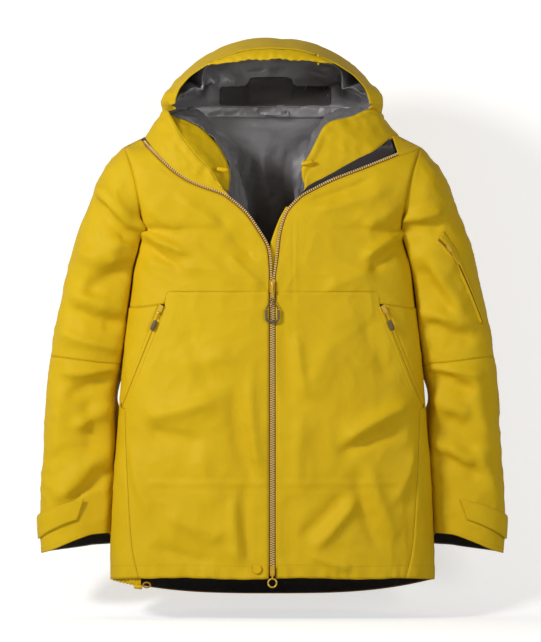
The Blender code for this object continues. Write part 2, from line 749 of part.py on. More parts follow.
def pocket_fittings(side, word):
    top = np.array(POCKET_TOP)
    end = np.array(POCKET_END)
    line = [tuple(top + (end - top) * step) for step in np.linspace(0.0, 1.0, 9)]
    run = (end - top) / np.linalg.norm(end - top)
    across = np.array([-run[1], run[0]])
    grid = []
    for x, z in line:
        row = []
        for shift in (-POCKET_TAPE_HALF, 0.0, POCKET_TAPE_HALF):
            px = min(x + across[0] * shift, at(HALF_WIDTH, z) - 4.5)
            row.append(body_point(side * px, z + across[1] * shift, -1))
        grid.append(row)
    sheet("pocket_zip_" + word, np.array(grid), 1.4, ORANGE)
    first = np.array(body_point(side * line[0][0], line[0][1], -1))
    later = np.array(body_point(side * line[4][0], line[4][1], -1))
    up = first - later
    up /= np.linalg.norm(up)
    beside = np.array(body_point(side * (line[0][0] + 8), line[0][1] + 3, -1)) - first
    out = np.cross(up, beside) * side
    if out[1] > 0:
        out = -out
    out /= np.linalg.norm(out)
    spot = first - up * 6.0 + out * 0.8
    frame = zip_frame(tuple(spot), tuple(up), tuple(out))
    slider("pocket_slider_" + word, frame, 0.7, YELLOW, False)
    pull_tab("pocket_pull_tab_" + word, frame, 0.7, 9.0, YELLOW)
    pull_grip("pocket_pull_grip_" + word, frame, 0.7, -8.6, 9.0, 26.0, TAUPE)
    grid = []
    for z in np.linspace(-328.0, -545.0, 7):
        far = float(np.interp(z, [-490, -320], [230, 168]))
        row = [body_point(side * x, z, -1, -9.0) for x in np.linspace(70.0, far, 6)]
        grid.append(row)
    sheet("pocket_bag_" + word, np.array(grid), LINING_THICK, GREY)


def sleeve_pocket():
    """Zipped pocket on the front of the left upper sleeve."""
    path = [(3.05, 86.0), (3.6, 76.0), (4.2, 66.0), (4.8, 57.0), (5.4, 49.0), (6.0, 41.0)]
    grid = []
    for shift in (-4.5, 0.0, 4.5):
        grid.append([sleeve_point(UPPER_RINGS, p, t + shift, 2.4, 1) for p, t in path])
    grid = np.array(grid)
    sheet("sleeve_pocket_zip", grid, 1.0, ORANGE)
    grid_in = []
    for shift in (0.0, 15.0, 30.0, 42.0):
        grid_in.append([sleeve_point(UPPER_RINGS, p, t + shift, -4.0, 1) for p, t in path])
    sheet("sleeve_pocket_bag", np.array(grid_in), LINING_THICK, GREY)
    first = grid[1][1]
    later = grid[1][3]
    up = (first - later) / np.linalg.norm(first - later)
    beside = grid[0][1] - grid[2][1]
    out = np.cross(up, beside)
    if out[1] > 0:
        out = -out
    out /= np.linalg.norm(out)
    frame = zip_frame(tuple(first + out * 0.8), tuple(up), tuple(out))
    slider("sleeve_slider", frame, 0.6, YELLOW, False)
    pull_tab("sleeve_pull", frame, 0.6, 26.0, YELLOW)


def hanger_loop():
    path = []
    for step in np.linspace(-1.0, 1.0, 11):
        bow = math.sqrt(max(0.0, 1.0 - abs(step) ** 2.4))
        path.append((24.0 * step, 58.5 - 14.0 * bow, 2.0 - 4.0 * bow))
    path = np.array(path)
    grid = np.stack([path + (0, 0, 2.5), path - (0, 0, 2.5)])
    sheet("hanger_loop", grid, 1.2, BLACK)


def toggle(name, centre, run):
    place = Vector(centre)
    mesh = cylinder(name, TOGGLE_RADIUS, TOGGLE_LENGTH, run, place, 14)
    add_part(name, mesh, TAUPE, "plastic", place)


def trims():
    toggle("hood_toggle_left", (56, -82, -86), (1, 0, 0.15))
    toggle("hood_toggle_right", (-80, -86, -97), (1, 0, -0.1))
    for word, place in (("left", (72, -92, 93)), ("right", (-100, -88, 79))):
        mesh = cylinder("brim_eyelet_" + word, 3.6, 1.6, (0, 1, 0), place, 16)
        add_part("brim_eyelet_" + word, mesh, BLACK, "plastic", place)
    x, z = STUD_POS
    place = Vector(body_point(x, z, -1))
    place.y -= 2.2
    mesh = cylinder("press_stud", STUD_RADIUS, 2.4, (0, 1, 0), place, 24)
    add_part("press_stud", mesh, YELLOW, "metal", place)
    place = Vector(body_point(-220.0, -768.0, -1))
    lock = Vector((place.x, place.y, -781.0))
    mesh = cylinder("hem_cord_lock", 4.5, 14.0, (1, 0, 0), lock, 14)
    add_part("hem_cord_lock", mesh, TAUPE, "plastic", lock)
    tab = box("hem_tab", (11.0, 1.2, 12.0), (place.x + 14.0, place.y - 3.0, -777.0))
    add_part("hem_tab", tab, ORANGE, "fabric")


def build():
    for side, word, edge in ((1, "left", OPEN_EDGE_LEFT), (-1, "right", OPEN_EDGE_RIGHT)):
        main_zip(side, word, edge)
        chest_panel(side, word, edge)
        lower_panels(side, word)
        sleeve(side, word)
        cuff_tab(side, word)
        pocket_fittings(side, word)
    back_panel()
    storm_flap()
    chin_guard()
    collars()
    inner = hood()
    neck_label(inner)
    main_fittings()
    sleeve_pocket()
    hanger_loop()
    trims()


build()
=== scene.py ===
import math

import bpy
import numpy as np
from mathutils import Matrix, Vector, noise
from mathutils.bvhtree import BVHTree


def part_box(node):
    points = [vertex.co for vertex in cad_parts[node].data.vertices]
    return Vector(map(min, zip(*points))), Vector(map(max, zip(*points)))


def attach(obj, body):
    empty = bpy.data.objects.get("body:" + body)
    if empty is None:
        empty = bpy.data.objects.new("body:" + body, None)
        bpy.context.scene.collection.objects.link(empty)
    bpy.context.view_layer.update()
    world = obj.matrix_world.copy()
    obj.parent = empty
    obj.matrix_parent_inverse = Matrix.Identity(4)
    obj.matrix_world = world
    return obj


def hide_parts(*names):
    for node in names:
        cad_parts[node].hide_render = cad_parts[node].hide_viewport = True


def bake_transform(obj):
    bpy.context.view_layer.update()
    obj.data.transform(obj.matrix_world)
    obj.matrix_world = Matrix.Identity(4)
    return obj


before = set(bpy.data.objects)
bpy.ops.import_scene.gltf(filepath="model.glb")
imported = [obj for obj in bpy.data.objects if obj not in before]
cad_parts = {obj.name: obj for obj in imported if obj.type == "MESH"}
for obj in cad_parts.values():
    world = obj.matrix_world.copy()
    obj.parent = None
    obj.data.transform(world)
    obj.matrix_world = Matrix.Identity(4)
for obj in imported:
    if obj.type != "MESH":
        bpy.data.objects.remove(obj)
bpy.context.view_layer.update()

MM = 0.001


# ---------------------------------------------------------------- camera
# far away with a long lens, so that sizes stay nearly the same from front to back
camera_data = bpy.data.cameras.new("camera")
camera_data.lens = 400.0
camera_data.sensor_width = 36.0
camera_data.clip_end = 50.0
camera = bpy.data.objects.new("camera", camera_data)
bpy.context.scene.collection.objects.link(camera)
camera.location = (-0.003, -11.76, -0.345)
camera.rotation_euler = (math.radians(90), 0, 0)
bpy.context.scene.camera = camera
bpy.context.scene.view_settings.view_transform = "Standard"

# ---------------------------------------------------------------- dimensions, mm
# rows of (z, half width), (z, depth), (x, z) along flat seams and (x, y, z) along free edges
HALF_WIDTH = [
    (-800, 268.0), (-771, 267.0), (-726, 267.0), (-667, 265.0), (-608, 262.0),
    (-549, 257.5), (-499, 253.5), (-437, 249.0), (-360, 241.0), (-319, 236.5),
    (-266, 230.0), (-217, 220.0), (-193, 214.0), (-173, 215.5), (-135, 222.5),
    (-96, 231.5), (-58, 244.0), (0, 266.0),
]
FRONT_DEPTH = [(-800, 86.0), (-280, 86.0), (-200, 84.0), (-120, 76.0), (-50, 66.0)]
BACK_DEPTH = [(-800, 90.0), (-500, 88.0), (-250, 92.0), (-120, 94.0), (0, 88.0)]
SECTION_POWER = 2.6
SHOULDER_LINE = [
    (0, 30.0), (60, 27.0), (100, 21.5), (135, 7.0), (165, -9.0), (196, -33.0),
    (214, -43.0), (244, -58.0), (270, -71.0),
]
SHOULDER_ROLL = 120.0
ARMHOLE_Z, ARMHOLE_HALF_HEIGHT, ARMHOLE_HALF_DEPTH = -125.0, 67.0, 58.0
FRONT_HEM_Z, BACK_HEM_Z, SIDE_HEM_Z = -767.0, -797.0, -771.0
CHEST_SEAM_Z, UNDERARM_SEAM_Z = -298.0, -323.0
ZIP_BOTTOM_Z, ZIP_OPEN_Z, TAPE_EDGE, COVER_EDGE = -757.0, -276.0, 10.0, 4.6
ZIP_LINE_X, POCKET_HALF_GAP, PLACKET_X = 0.9, 4.2, 34
OPEN_EDGE_RIGHT = [
    (2, -248), (6, -222), (20, -197), (42, -166), (71, -141), (86, -133),
    (117, -122), (141, -111), (165, -94), (190, -70), (210, -48),
]
OPEN_EDGE_LEFT = [
    (6, -240), (11, -200), (22, -166), (43, -142), (60, -131), (101, -111),
    (145, -94), (160, -88), (180, -80), (202, -71), (206, -69),
]
CHIN_GUARD_TOP = [
    (52, -131), (62, -121.5), (92, -106), (127, -86), (145, -76.5), (169, -64),
    (193, -45),
]
COLLAR_LEFT_RIM = [
    (50, -73, -108), (49, -75, -92), (60, -74, -73), (75, -70, -43),
    (86, -64, -24), (104, -56, -15), (130, -46, -9), (156, -32, 2),
]
COLLAR_RIGHT_BASE = [
    (72, -138.5), (87, -130.5), (118, -119.5), (142, -108.5), (165.5, -91.5),
    (190, -67.5), (207, -47),
]
COLLAR_RIGHT_RIM = [
    (86, -78, -121), (92, -79, -112), (105, -78, -94), (122, -75, -77),
    (137, -70, -58), (150, -62, -40), (164, -50, -15), (174, -34, 2),
]
FACING_RIGHT_INNER = [
    (72, -60, -133), (70, -56, -111), (74, -50, -85), (88, -44, -59),
    (109, -38, -35), (127, -32, -22), (148, -26, -14), (166, -20, -6),
]
COLLAR_BACK_BASE = [(209, 1.5, -41), (197, 22, -33), (165, 42, -17), (136, 52, -6.5)]
COLLAR_BACK_TOP = [(179, 3, -2.5), (172, 26, -3), (147, 44, -3)]
# from the neck seam over the crown to the brim, middle to ear
HOOD_STATIONS = [
    [(0, 67.5, 2.5), (0, 112, 45), (0, 98, 98), (0, 25, 123), (0, -86, 102)],
    [(50, 66, 2.5), (58, 108, 45), (62, 92, 94), (58, 20, 117), (46, -85, 98)],
    [(100, 61, 2), (113, 97, 42), (119, 74, 80), (112, 10, 92), (88, -80, 84)],
    [(147, 45.5, -1), (159, 66, 26), (163, 44, 48), (152, 0, 58), (128, -68, 62)],
    [(173, 26.5, -1), (179, 28, 16), (179, 10, 28), (173, -18, 34), (150, -55, 40)],
    [(180, 3, -0.5), (182, -1, 10), (181, -10, 16), (174, -26, 20), (158, -44, 22)],
    [(159, -31, 4.5), (164, -31, 7), (165, -33, 9), (163, -37, 11), (160, -40, 12)],
]
BRIM_EDGE = [
    (-90, -86, 75), (-62, -94, 79), (-30, -99, 82), (0, -101, 83),
    (30, -99, 82), (60, -93, 80), (86, -87, 77),
]
# sleeve sections: outer x, z, inner x, z, half depth, middle y, tilt of the front
UPPER_RINGS = [
    (247.0, -58.0, 216.5, -192.5, 58.0, 0.0, 0.0),
    (270.0, -84.0, 224.5, -214.0, 62.0, 4.0, 0.0),
    (288.0, -113.0, 230.5, -240.0, 62.0, 8.0, 0.0),
    (304.0, -159.0, 235.5, -266.0, 60.0, 12.0, 0.0),
    (325.0, -213.0, 241.0, -300.0, 58.0, 15.0, 0.0),
    (343.0, -283.0, 246.0, -345.0, 55.0, 18.0, 0.0),
    (357.0, -345.0, 250.5, -385.0, 52.0, 20.0, 0.0),
    (366.0, -403.0, 256.0, -417.0, 50.0, 22.0, 0.0),
]
FORE_RINGS = [
    (366.6, -404.0, 256.6, -418.0, 50.0, 22.0, 0.0),
    (373.0, -461.0, 265.0, -465.0, 49.0, 24.0, 0.0),
    (377.0, -540.0, 267.0, -540.0, 47.0, 25.0, 0.0),
    (382.0, -620.0, 269.0, -616.0, 44.0, 26.0, 0.0),
    (385.0, -672.0, 270.0, -662.0, 43.0, 26.0, 0.0),
    (382.0, -728.0, 271.0, -704.0, 42.0, 26.0, 9.0),
]
SLEEVE_POWER = 2.2
POCKET_TOP, POCKET_END = (180.0, -320.0), (248.0, -488.0)
STEP = 4.5


# ---------------------------------------------------------------- surface maths
def pchip(rows):
    """Smooth monotone curve through (key, value) rows."""
    x = np.array([r[0] for r in rows], float)
    y = np.array([r[1] for r in rows], float)
    h = np.diff(x)
    d = np.diff(y) / h
    m = np.zeros_like(y)
    m[0], m[-1] = d[0], d[-1]
    for i in range(1, len(x) - 1):
        if d[i - 1] * d[i] > 0:
            a, b = 2 * h[i] + h[i - 1], h[i] + 2 * h[i - 1]
            m[i] = (a + b) / (a / d[i - 1] + b / d[i])

    def value(at):
        at = np.clip(np.asarray(at, float), x[0], x[-1])
        i = np.clip(np.searchsorted(x, at) - 1, 0, len(h) - 1)
        t = (at - x[i]) / h[i]
        return (y[i] * (1 + 2 * t) * (1 - t) ** 2 + m[i] * h[i] * t * (1 - t) ** 2
                + y[i + 1] * t * t * (3 - 2 * t) + m[i + 1] * h[i] * t * t * (t - 1))

    return value


half_width = pchip(HALF_WIDTH)
front_depth = pchip(FRONT_DEPTH)
back_depth = pchip(BACK_DEPTH)
shoulder_line = pchip(SHOULDER_LINE)


def body_surface(x, z, face, lift=0.0):
    """Points of the body shell over arrays of x and z, face -1 front, +1 back."""
    x = np.asarray(x, float)
    z = np.asarray(z, float)
    ratio = np.clip(np.abs(x) / half_width(z), 0, 1)
    depth = (front_depth(z) if face < 0 else back_depth(z)) + lift
    rise = (z - ARMHOLE_Z) / ARMHOLE_HALF_HEIGHT
    edge = ARMHOLE_HALF_DEPTH * np.sqrt(np.clip(1 - rise * rise, 0, None))
    full = (1 - ratio ** SECTION_POWER) ** (1 / SECTION_POWER)
    below = np.clip((shoulder_line(np.abs(x)) - z) / SHOULDER_ROLL, 0, 1)
    roll = (1 - (1 - below) ** 2.4) ** (1 / 2.4)
    y = face * (edge + (depth - edge) * full * roll)
    return np.stack(np.broadcast_arrays(x, y, z), axis=-1)


def smooth(points, count):
    """Curve through the points, with count steps between each two."""
    pts = np.array(points, dtype=float)
    ext = np.concatenate([[2 * pts[0] - pts[1]], pts, [2 * pts[-1] - pts[-2]]])
    out = []
    for i in range(1, len(ext) - 2):
        p0, p1, p2, p3 = ext[i - 1:i + 3]
        for t in np.linspace(0.0, 1.0, count, endpoint=False):
            a = 2 * p1 + (p2 - p0) * t
            b = (2 * p0 - 5 * p1 + 4 * p2 - p3) * t * t
            c = (3 * p1 - p0 - 3 * p2 + p3) * t ** 3
            out.append(0.5 * (a + b + c))
    out.append(pts[-1])
    return np.array(out)


def spread(curve, count):
    """The curve again with count points at even distances."""
    points = np.array(curve, dtype=float)
    run = run_length(points, 0)
    want = np.linspace(0.0, run[-1], count)
    return np.stack([np.interp(want, run, col) for col in points.T], axis=1)


def offset_line(line, distance):
    """Flat line moved sideways."""
    points = np.array(line, dtype=float)
    run = np.gradient(points, axis=0)
    run /= np.linalg.norm(run, axis=1, keepdims=True)
    side = np.stack([run[:, 1], -run[:, 0]], axis=1)
    return points + side * distance


def sided(curve, side):
    """The curve on the wearer's left (1) or right (-1)."""
    out = np.array(curve, dtype=float)
    out[..., 0] *= side
    return out


def normals(grid, loop=False):
    down = np.gradient(grid, axis=0)
    if loop:
        across = np.roll(grid, -1, axis=1) - np.roll(grid, 1, axis=1)
    else:
        across = np.gradient(grid, axis=1)
    normal = np.cross(across, down)
    size = np.linalg.norm(normal, axis=2, keepdims=True)
    return normal / np.maximum(size, 1e-9)


def outward(grid, loop=False, centre=None):
    """Normals turned away from the middle."""
    normal = normals(grid, loop)
    if centre is None:
        centre = np.array([0.0, 0.0])
    flat = grid[..., :2] - centre
    total = np.sum(np.sum(normal[..., :2] * flat, axis=2))
    return normal * (1.0 if total > 0 else -1.0)


def run_length(grid, axis):
    """Distance in mm from the first row or column, along the cloth."""
    steps = np.linalg.norm(np.diff(grid, axis=axis), axis=-1)
    return np.insert(np.cumsum(steps, axis=axis), 0, 0.0, axis=axis)


def border(grid, rows=(0, -1), cols=(0, -1)):
    """Distance in mm of each grid point from the chosen borders, along the cloth."""
    down, side = run_length(grid, 0), run_length(grid, 1)
    far = [down if row == 0 else down[-1:] - down for row in rows]
    far += [side if col == 0 else side[:, -1:] - side for col in cols]
    return np.minimum.reduce(far)


def ridge(value, at, width):
    """1 where the value is at its place, fading to 0 on both sides."""
    return np.exp(-((value - at) / width) ** 2)


def fade(far, reach):
    """0 at a fixed edge, 1 further in."""
    return 1 - ridge(far, 0, reach)


def seam_shape(far, depth=0.3):
    """Groove at a sewn edge, with the turned-in cloth raised beside it."""
    return 0.5 * depth * ridge(far, 6.0, 3.5) - depth * ridge(far, 0, 2.2)


# ---------------------------------------------------------------- folds
def fold_sum(x, z, folds):
    """Sum of tapered ridges and hollows: (x0, z0, x1, z1, width, height)."""
    total = np.zeros(np.broadcast(x, z).shape)
    for x0, z0, x1, z1, width, height in folds:
        dx, dz = x1 - x0, z1 - z0
        length = math.hypot(dx, dz)
        along = ((x - x0) * dx + (z - z0) * dz) / length
        across = ((x - x0) * dz - (z - z0) * dx) / length
        t = along / length
        bend = across + 0.10 * length * (t - 0.5) ** 2
        taper = np.exp(-np.clip(np.abs(t - 0.5) - 0.32, 0, None) ** 2 / 0.035)
        total += 1.9 * height * taper / (1.0 + (bend / (0.85 * width)) ** 2) ** 1.5
    return total


def crumple(grid, size, height, seed):
    """Soft irregular rumpling with a few sharper creases."""
    flat = grid.reshape(-1, 3)
    out = np.empty(len(flat))
    for i, (x, y, z) in enumerate(flat):
        place = Vector((x / size + seed, y / size, z / size))
        soft = noise.noise(place)
        sharp = 1.0 - abs(noise.noise(place * 1.7 + Vector((7.3, 2.1, seed))))
        out[i] = soft * 0.6 + (sharp ** 3) * 0.7 - 0.35
    return (out * height).reshape(grid.shape[:2])


# x, z of one end, x, z of the other, width, height
FRONT_FOLDS = [
    (-216, -198, -140, -236, 11, 6), (-214, -216, -150, -262, 11, -5),
    (-205, -158, -150, -196, 15, 3), (-208, -250, -120, -262, 14, 3),
    (-150, -150, -60, -205, 18, 4), (-92, -176, -28, -244, 16, -4),
    (-150, -215, -60, -285, 20, 3), (-70, -240, -20, -290, 12, 3),
    (-205, -506, -90, -476, 20, 6), (-200, -528, -120, -546, 16, -5),
    (-150, -420, -70, -400, 26, 3), (-66, -470, -40, -600, 14, -6),
    (-40, -440, -26, -590, 11, 4), (-48, -620, -34, -745, 11, -6),
    (-66, -640, -58, -740, 12, 4), (-170, -668, -80, -700, 20, 4),
    (-190, -720, -100, -742, 14, -3), (-140, -360, -100, -460, 22, -3),
    (-235, -560, -205, -660, 16, 3), (-120, -560, -96, -650, 20, 3),
    (214, -196, 150, -240, 11, 6), (214, -214, 160, -262, 11, -5),
    (205, -160, 150, -190, 14, 3), (60, -150, 160, -116, 10, -3),
    (70, -168, 190, -130, 16, 3), (170, -260, 90, -290, 18, 3),
    (222, -478, 118, -540, 16, 8), (205, -520, 112, -560, 15, -6),
    (52, -700, 118, -634, 13, -6), (74, -716, 138, -640, 13, 6),
    (136, -600, 168, -712, 16, -4), (158, -590, 196, -700, 18, 4),
    (18, -372, 24, -470, 9, -4), (38, -372, 52, -470, 12, 4),
    (96, -380, 60, -470, 24, 3), (150, -346, 190, -436, 22, -3),
    (46, -500, 40, -620, 16, 3), (204, -640, 240, -560, 14, 3),
    (30, -640, 24, -740, 9, -4), (60, -730, 130, -752, 10, 3),
]
BACK_FOLDS = [
    (-214, -200, -110, -240, 14, 7), (214, -198, 110, -246, 14, 7),
    (-212, -222, -120, -300, 14, -5), (212, -220, 120, -296, 14, -5),
    (-150, -60, 0, -90, 22, 3), (150, -60, 20, -96, 22, 3),
    (-180, -330, -60, -430, 26, 5), (170, -320, 40, -440, 26, 5),
    (-120, -470, 40, -560, 24, 5), (150, -500, 30, -610, 22, -5),
    (-200, -560, -150, -700, 20, 5), (60, -600, 90, -760, 20, 5),
    (-60, -620, -90, -770, 18, -5), (210, -560, 180, -720, 18, 5),
    (0, -300, -20, -420, 30, 3), (-40, -150, -60, -260, 30, 3),
]
SLEEVE_FRONT_LEFT = [
    (216, -178, 276, -168, 9, 7), (218, -194, 276, -192, 10, -7),
    (240, -232, 300, -262, 14, 4), (246, -262, 292, -330, 13, -6),
    (262, -250, 310, -330, 14, 5), (252, -330, 330, -352, 12, 5),
    (256, -352, 330, -378, 12, -5), (262, -432, 330, -462, 12, -7),
    (258, -414, 344, -436, 10, 6), (264, -470, 320, -500, 13, 6),
    (330, -440, 352, -540, 16, 3), (270, -540, 330, -580, 14, 5),
    (274, -566, 340, -600, 13, -5), (290, -500, 330, -560, 18, -4),
    (300, -120, 330, -230, 14, 3), (340, -560, 372, -640, 14, 3),
]
SLEEVE_FRONT_RIGHT = [
    (216, -200, 286, -128, 10, 11), (222, -226, 292, -152, 12, -11),
    (236, -212, 300, -250, 14, 4), (232, -250, 306, -300, 15, -7),
    (246, -246, 318, -236, 14, 5), (250, -330, 330, -300, 14, 6),
    (256, -352, 330, -330, 14, -5), (258, -392, 350, -366, 12, 4),
    (262, -432, 330, -470, 12, -7), (256, -420, 340, -434, 10, 6),
    (266, -480, 320, -520, 13, 6), (300, -470, 300, -560, 18, -4),
    (280, -560, 340, -630, 13, 5), (276, -590, 330, -640, 12, -5),
    (350, -460, 356, -560, 16, 3), (310, -590, 352, -640, 14, 4),
]
SLEEVE_BACK = [
    (218, -190, 290, -150, 12, 8), (230, -226, 306, -200, 13, -6),
    (250, -330, 344, -300, 14, 6), (256, -372, 350, -350, 12, -6),
    (262, -420, 350, -400, 10, 6), (264, -446, 350, -440, 12, -6),
    (270, -500, 340, -470, 14, 5), (280, -560, 350, -600, 14, 4),
]


# ---------------------------------------------------------------- materials
def set_inputs(node, **values):
    """Constant inputs of a node; an underscore stands for a space."""
    for name, value in values.items():
        node.inputs[name.replace("_", " ")].default_value = value


def add_node(tree, kind, **values):
    node = tree.nodes.new("ShaderNode" + kind)
    set_inputs(node, **values)
    return node


def wire(tree, source, output, target, entry):
    tree.links.new(source.outputs[output], target.inputs[entry])


def nodes_of(name):
    mat = bpy.data.materials.new(name)
    mat.use_nodes = True
    tree = mat.node_tree
    return mat, tree, tree.nodes["Principled BSDF"]


def mottled(tree, shader, light, dark, scale):
    """Base colour drifting between two tones."""
    place = add_node(tree, "TexCoord")
    tex = add_node(tree, "TexNoise", Scale=scale, Detail=4.0)
    ramp = add_node(tree, "ValToRGB")
    for stop, share, tone in zip(ramp.color_ramp.elements, (0.30, 0.72), (dark, light)):
        stop.position = share
        stop.color = (*tone, 1)
    wire(tree, place, "Object", tex, "Vector")
    wire(tree, tex, "Fac", ramp, "Fac")
    wire(tree, ramp, "Color", shader, "Base Color")
    return place


def bump_chain(tree, shader, place, layers):
    """Bump maps stacked from coarse to fine: (noise or wave direction, scale, strength, distance)."""
    last = None
    for kind, scale, strength, distance in layers:
        if kind == "noise":
            tex = add_node(tree, "TexNoise", Scale=scale, Detail=3.0, Distortion=0.6)
        else:
            tex = add_node(tree, "TexWave", Scale=scale, Distortion=0.4)
            tex.bands_direction = kind
        bump = add_node(tree, "Bump", Strength=strength, Distance=distance)
        wire(tree, place, "Object", tex, "Vector")
        wire(tree, tex, "Fac", bump, "Height")
        if last:
            wire(tree, last, "Normal", bump, "Normal")
        last = bump
    wire(tree, last, "Normal", shader, "Normal")


def cloth_material(name, light, dark, rough, layers, sheen=0.0, coat=0.0, gloss=0.12):
    mat, tree, shader = nodes_of(name)
    bump_chain(tree, shader, mottled(tree, shader, light, dark, 9.0), layers)
    set_inputs(shader, Roughness=rough, Sheen_Weight=sheen, Sheen_Roughness=0.5, Coat_Weight=coat,
               Coat_Roughness=0.35, Specular_IOR_Level=gloss)
    return mat


def hard_material(name, light, dark, rough, metal, gloss=0.5):
    mat, tree, shader = nodes_of(name)
    bump_chain(tree, shader, mottled(tree, shader, light, dark, 260.0), [("noise", 900.0, 0.15, 0.0002)])
    set_inputs(shader, Roughness=rough, Metallic=metal, Specular_IOR_Level=gloss)
    return mat


WEAVE = [("X", 900.0, 0.10, 0.0003), ("Z", 900.0, 0.10, 0.0003)]
YELLOW = cloth_material(
    "shell_yellow", (0.72, 0.485, 0.010), (0.67, 0.440, 0.007), 0.55,
    [("noise", 16.0, 0.35, 0.006), ("noise", 60.0, 0.25, 0.0015)] + WEAVE)
LINING = cloth_material(
    "lining_grey", (0.27, 0.262, 0.272), (0.18, 0.174, 0.182), 0.33,
    [("noise", 14.0, 0.5, 0.012), ("noise", 60.0, 0.3, 0.002)] + WEAVE, 0.1, 0.25, 0.7)
BLACK = cloth_material(
    "trim_black", (0.040, 0.035, 0.035), (0.026, 0.023, 0.023), 0.65,
    [("noise", 40.0, 0.3, 0.003), ("noise", 700.0, 0.4, 0.0004)], 0.25)
LABEL = cloth_material(
    "label_black", (0.085, 0.077, 0.077), (0.070, 0.064, 0.064), 0.7,
    [("noise", 30.0, 0.2, 0.002), ("noise", 800.0, 0.2, 0.0002)], 0.1)
TAPE = cloth_material(
    "zip_tape_orange", (0.42, 0.19, 0.012), (0.34, 0.15, 0.009), 0.75,
    [("X", 500.0, 0.4, 0.0004), ("Z", 700.0, 0.4, 0.0004)], 0.2)
EDGE = cloth_material(
    "edge_orange", (0.50, 0.26, 0.015), (0.42, 0.20, 0.01), 0.7,
    [("noise", 300.0, 0.3, 0.0005)], 0.1)
THREAD = cloth_material(
    "thread_yellow", (0.62, 0.41, 0.010), (0.55, 0.36, 0.008), 0.6,
    [("noise", 900.0, 0.4, 0.0002)], 0.1)
CORD = cloth_material(
    "cord_taupe", (0.17, 0.12, 0.06), (0.11, 0.075, 0.035), 0.8,
    [("noise", 900.0, 0.6, 0.0004)], 0.1)
TEETH = hard_material("zip_teeth_tan", (0.86, 0.66, 0.30), (0.78, 0.58, 0.24), 0.45, 0.0)
TAUPE = hard_material("moulded_taupe", (0.155, 0.105, 0.052), (0.12, 0.08, 0.04), 0.42, 0.0)
ENAMEL = hard_material("enamel_yellow", (0.74, 0.47, 0.04), (0.64, 0.38, 0.02), 0.28, 0.15)
STUD = hard_material("stud_yellow", (0.80, 0.50, 0.006), (0.74, 0.46, 0.005), 0.5, 0.0, 0.15)

SHELL = (YELLOW, LINING, YELLOW)
FILM = ([LINING] * 3, 0.6)


def link(obj):
    bpy.context.scene.collection.objects.link(obj)
    return obj


def mesh_piece(name, verts, faces, mats, smooth_faces=()):
    """Linked object from corners in mm."""
    mesh = bpy.data.meshes.new(name)
    mesh.from_pydata([tuple(v) for v in np.asarray(verts) * MM], [], faces)
    for mat in mats:
        mesh.materials.append(mat)
    mesh.polygons.foreach_set("use_smooth", list(smooth_faces) or [False] * len(faces))
    mesh.update()
    return link(bpy.data.objects.new(name, mesh))


def sewn(node, obj, body="torso"):
    """Stand a piece in for its CAD node and let it ride on a body."""
    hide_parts(node)
    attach(obj, body)


def turned(quad):
    """The face seen from its other side, split along the same diagonal."""
    return (quad[0],) + quad[:0:-1]


def cloth(name, grid, mats, thick=1.1, loop=False, centre=None, ways=None):
    """Two-sided cloth piece over an outer grid in mm; mats is outer, inner, edge."""
    rows, cols = grid.shape[:2]
    inner = grid - (outward(grid, loop, centre) if ways is None else ways) * thick
    count = rows * cols
    faces, slots = [], []
    span = cols if loop else cols - 1
    up = np.sum(normals(grid, loop) * outward(grid, loop, centre)) > 0
    for i in range(rows - 1):
        for j in range(span):
            k = (j + 1) % cols
            quad = (i * cols + j, i * cols + k, (i + 1) * cols + k, (i + 1) * cols + j)
            back = tuple(v + count for v in quad)
            faces += [quad, turned(back)] if up else [turned(quad), back]
            slots += [0, 1]
    across = np.arange(span + 1) % cols
    rims = [(across, True), (across + (rows - 1) * cols, False)]
    if not loop:
        down = np.arange(rows) * cols
        rims += [(down, False), (down + cols - 1, True)]
    for rim, first in rims:
        for a, b in zip(rim[:-1].tolist(), rim[1:].tolist()):
            quad = (a, a + count, b + count, b)
            faces.append(quad if first == up else quad[::-1])
            slots.append(2)
    verts = np.concatenate([grid.reshape(-1, 3), inner.reshape(-1, 3)])
    obj = mesh_piece(name, verts, faces, mats, [s < 2 for s in slots])
    obj.data.polygons.foreach_set("material_index", slots)
    return obj


def counts(length, step=STEP):
    """Grid points for a length in mm."""
    return max(4, int(length / step))


def body_patch(lower, upper, rows, face):
    """Shell surface ruled between two dense curves of (x, z)."""
    t = np.linspace(0.0, 1.0, rows)[:, None]
    z = lower[None, :, 1] + (upper - lower)[None, :, 1] * t
    r0 = lower[:, 0] / half_width(lower[:, 1])
    r1 = upper[:, 0] / half_width(upper[:, 1])
    r = r0[None] + (r1 - r0)[None] * t
    return body_surface(r * half_width(z), z, face)


def folded(grid, folds, extra=0.0, keep=1.0, floor=-6.5):
    """Grid pushed along its normals by the folds, fading to keep at fixed edges."""
    push = (fold_sum(grid[..., 0], grid[..., 2], folds) + extra) * keep
    near = np.abs(grid[..., 0]) < PLACKET_X
    push = np.maximum(push, np.where(near, np.maximum(floor, -2.2), floor))
    return grid + outward(grid) * push[..., None]


# ---------------------------------------------------------------- body panels
# z, width, height of the lines pressed across the front, mm
PRESSED_LINES = [(-602, 3.6, -1.0), (-620, 3.6, -1.0), (-611, 4.0, 0.7)]


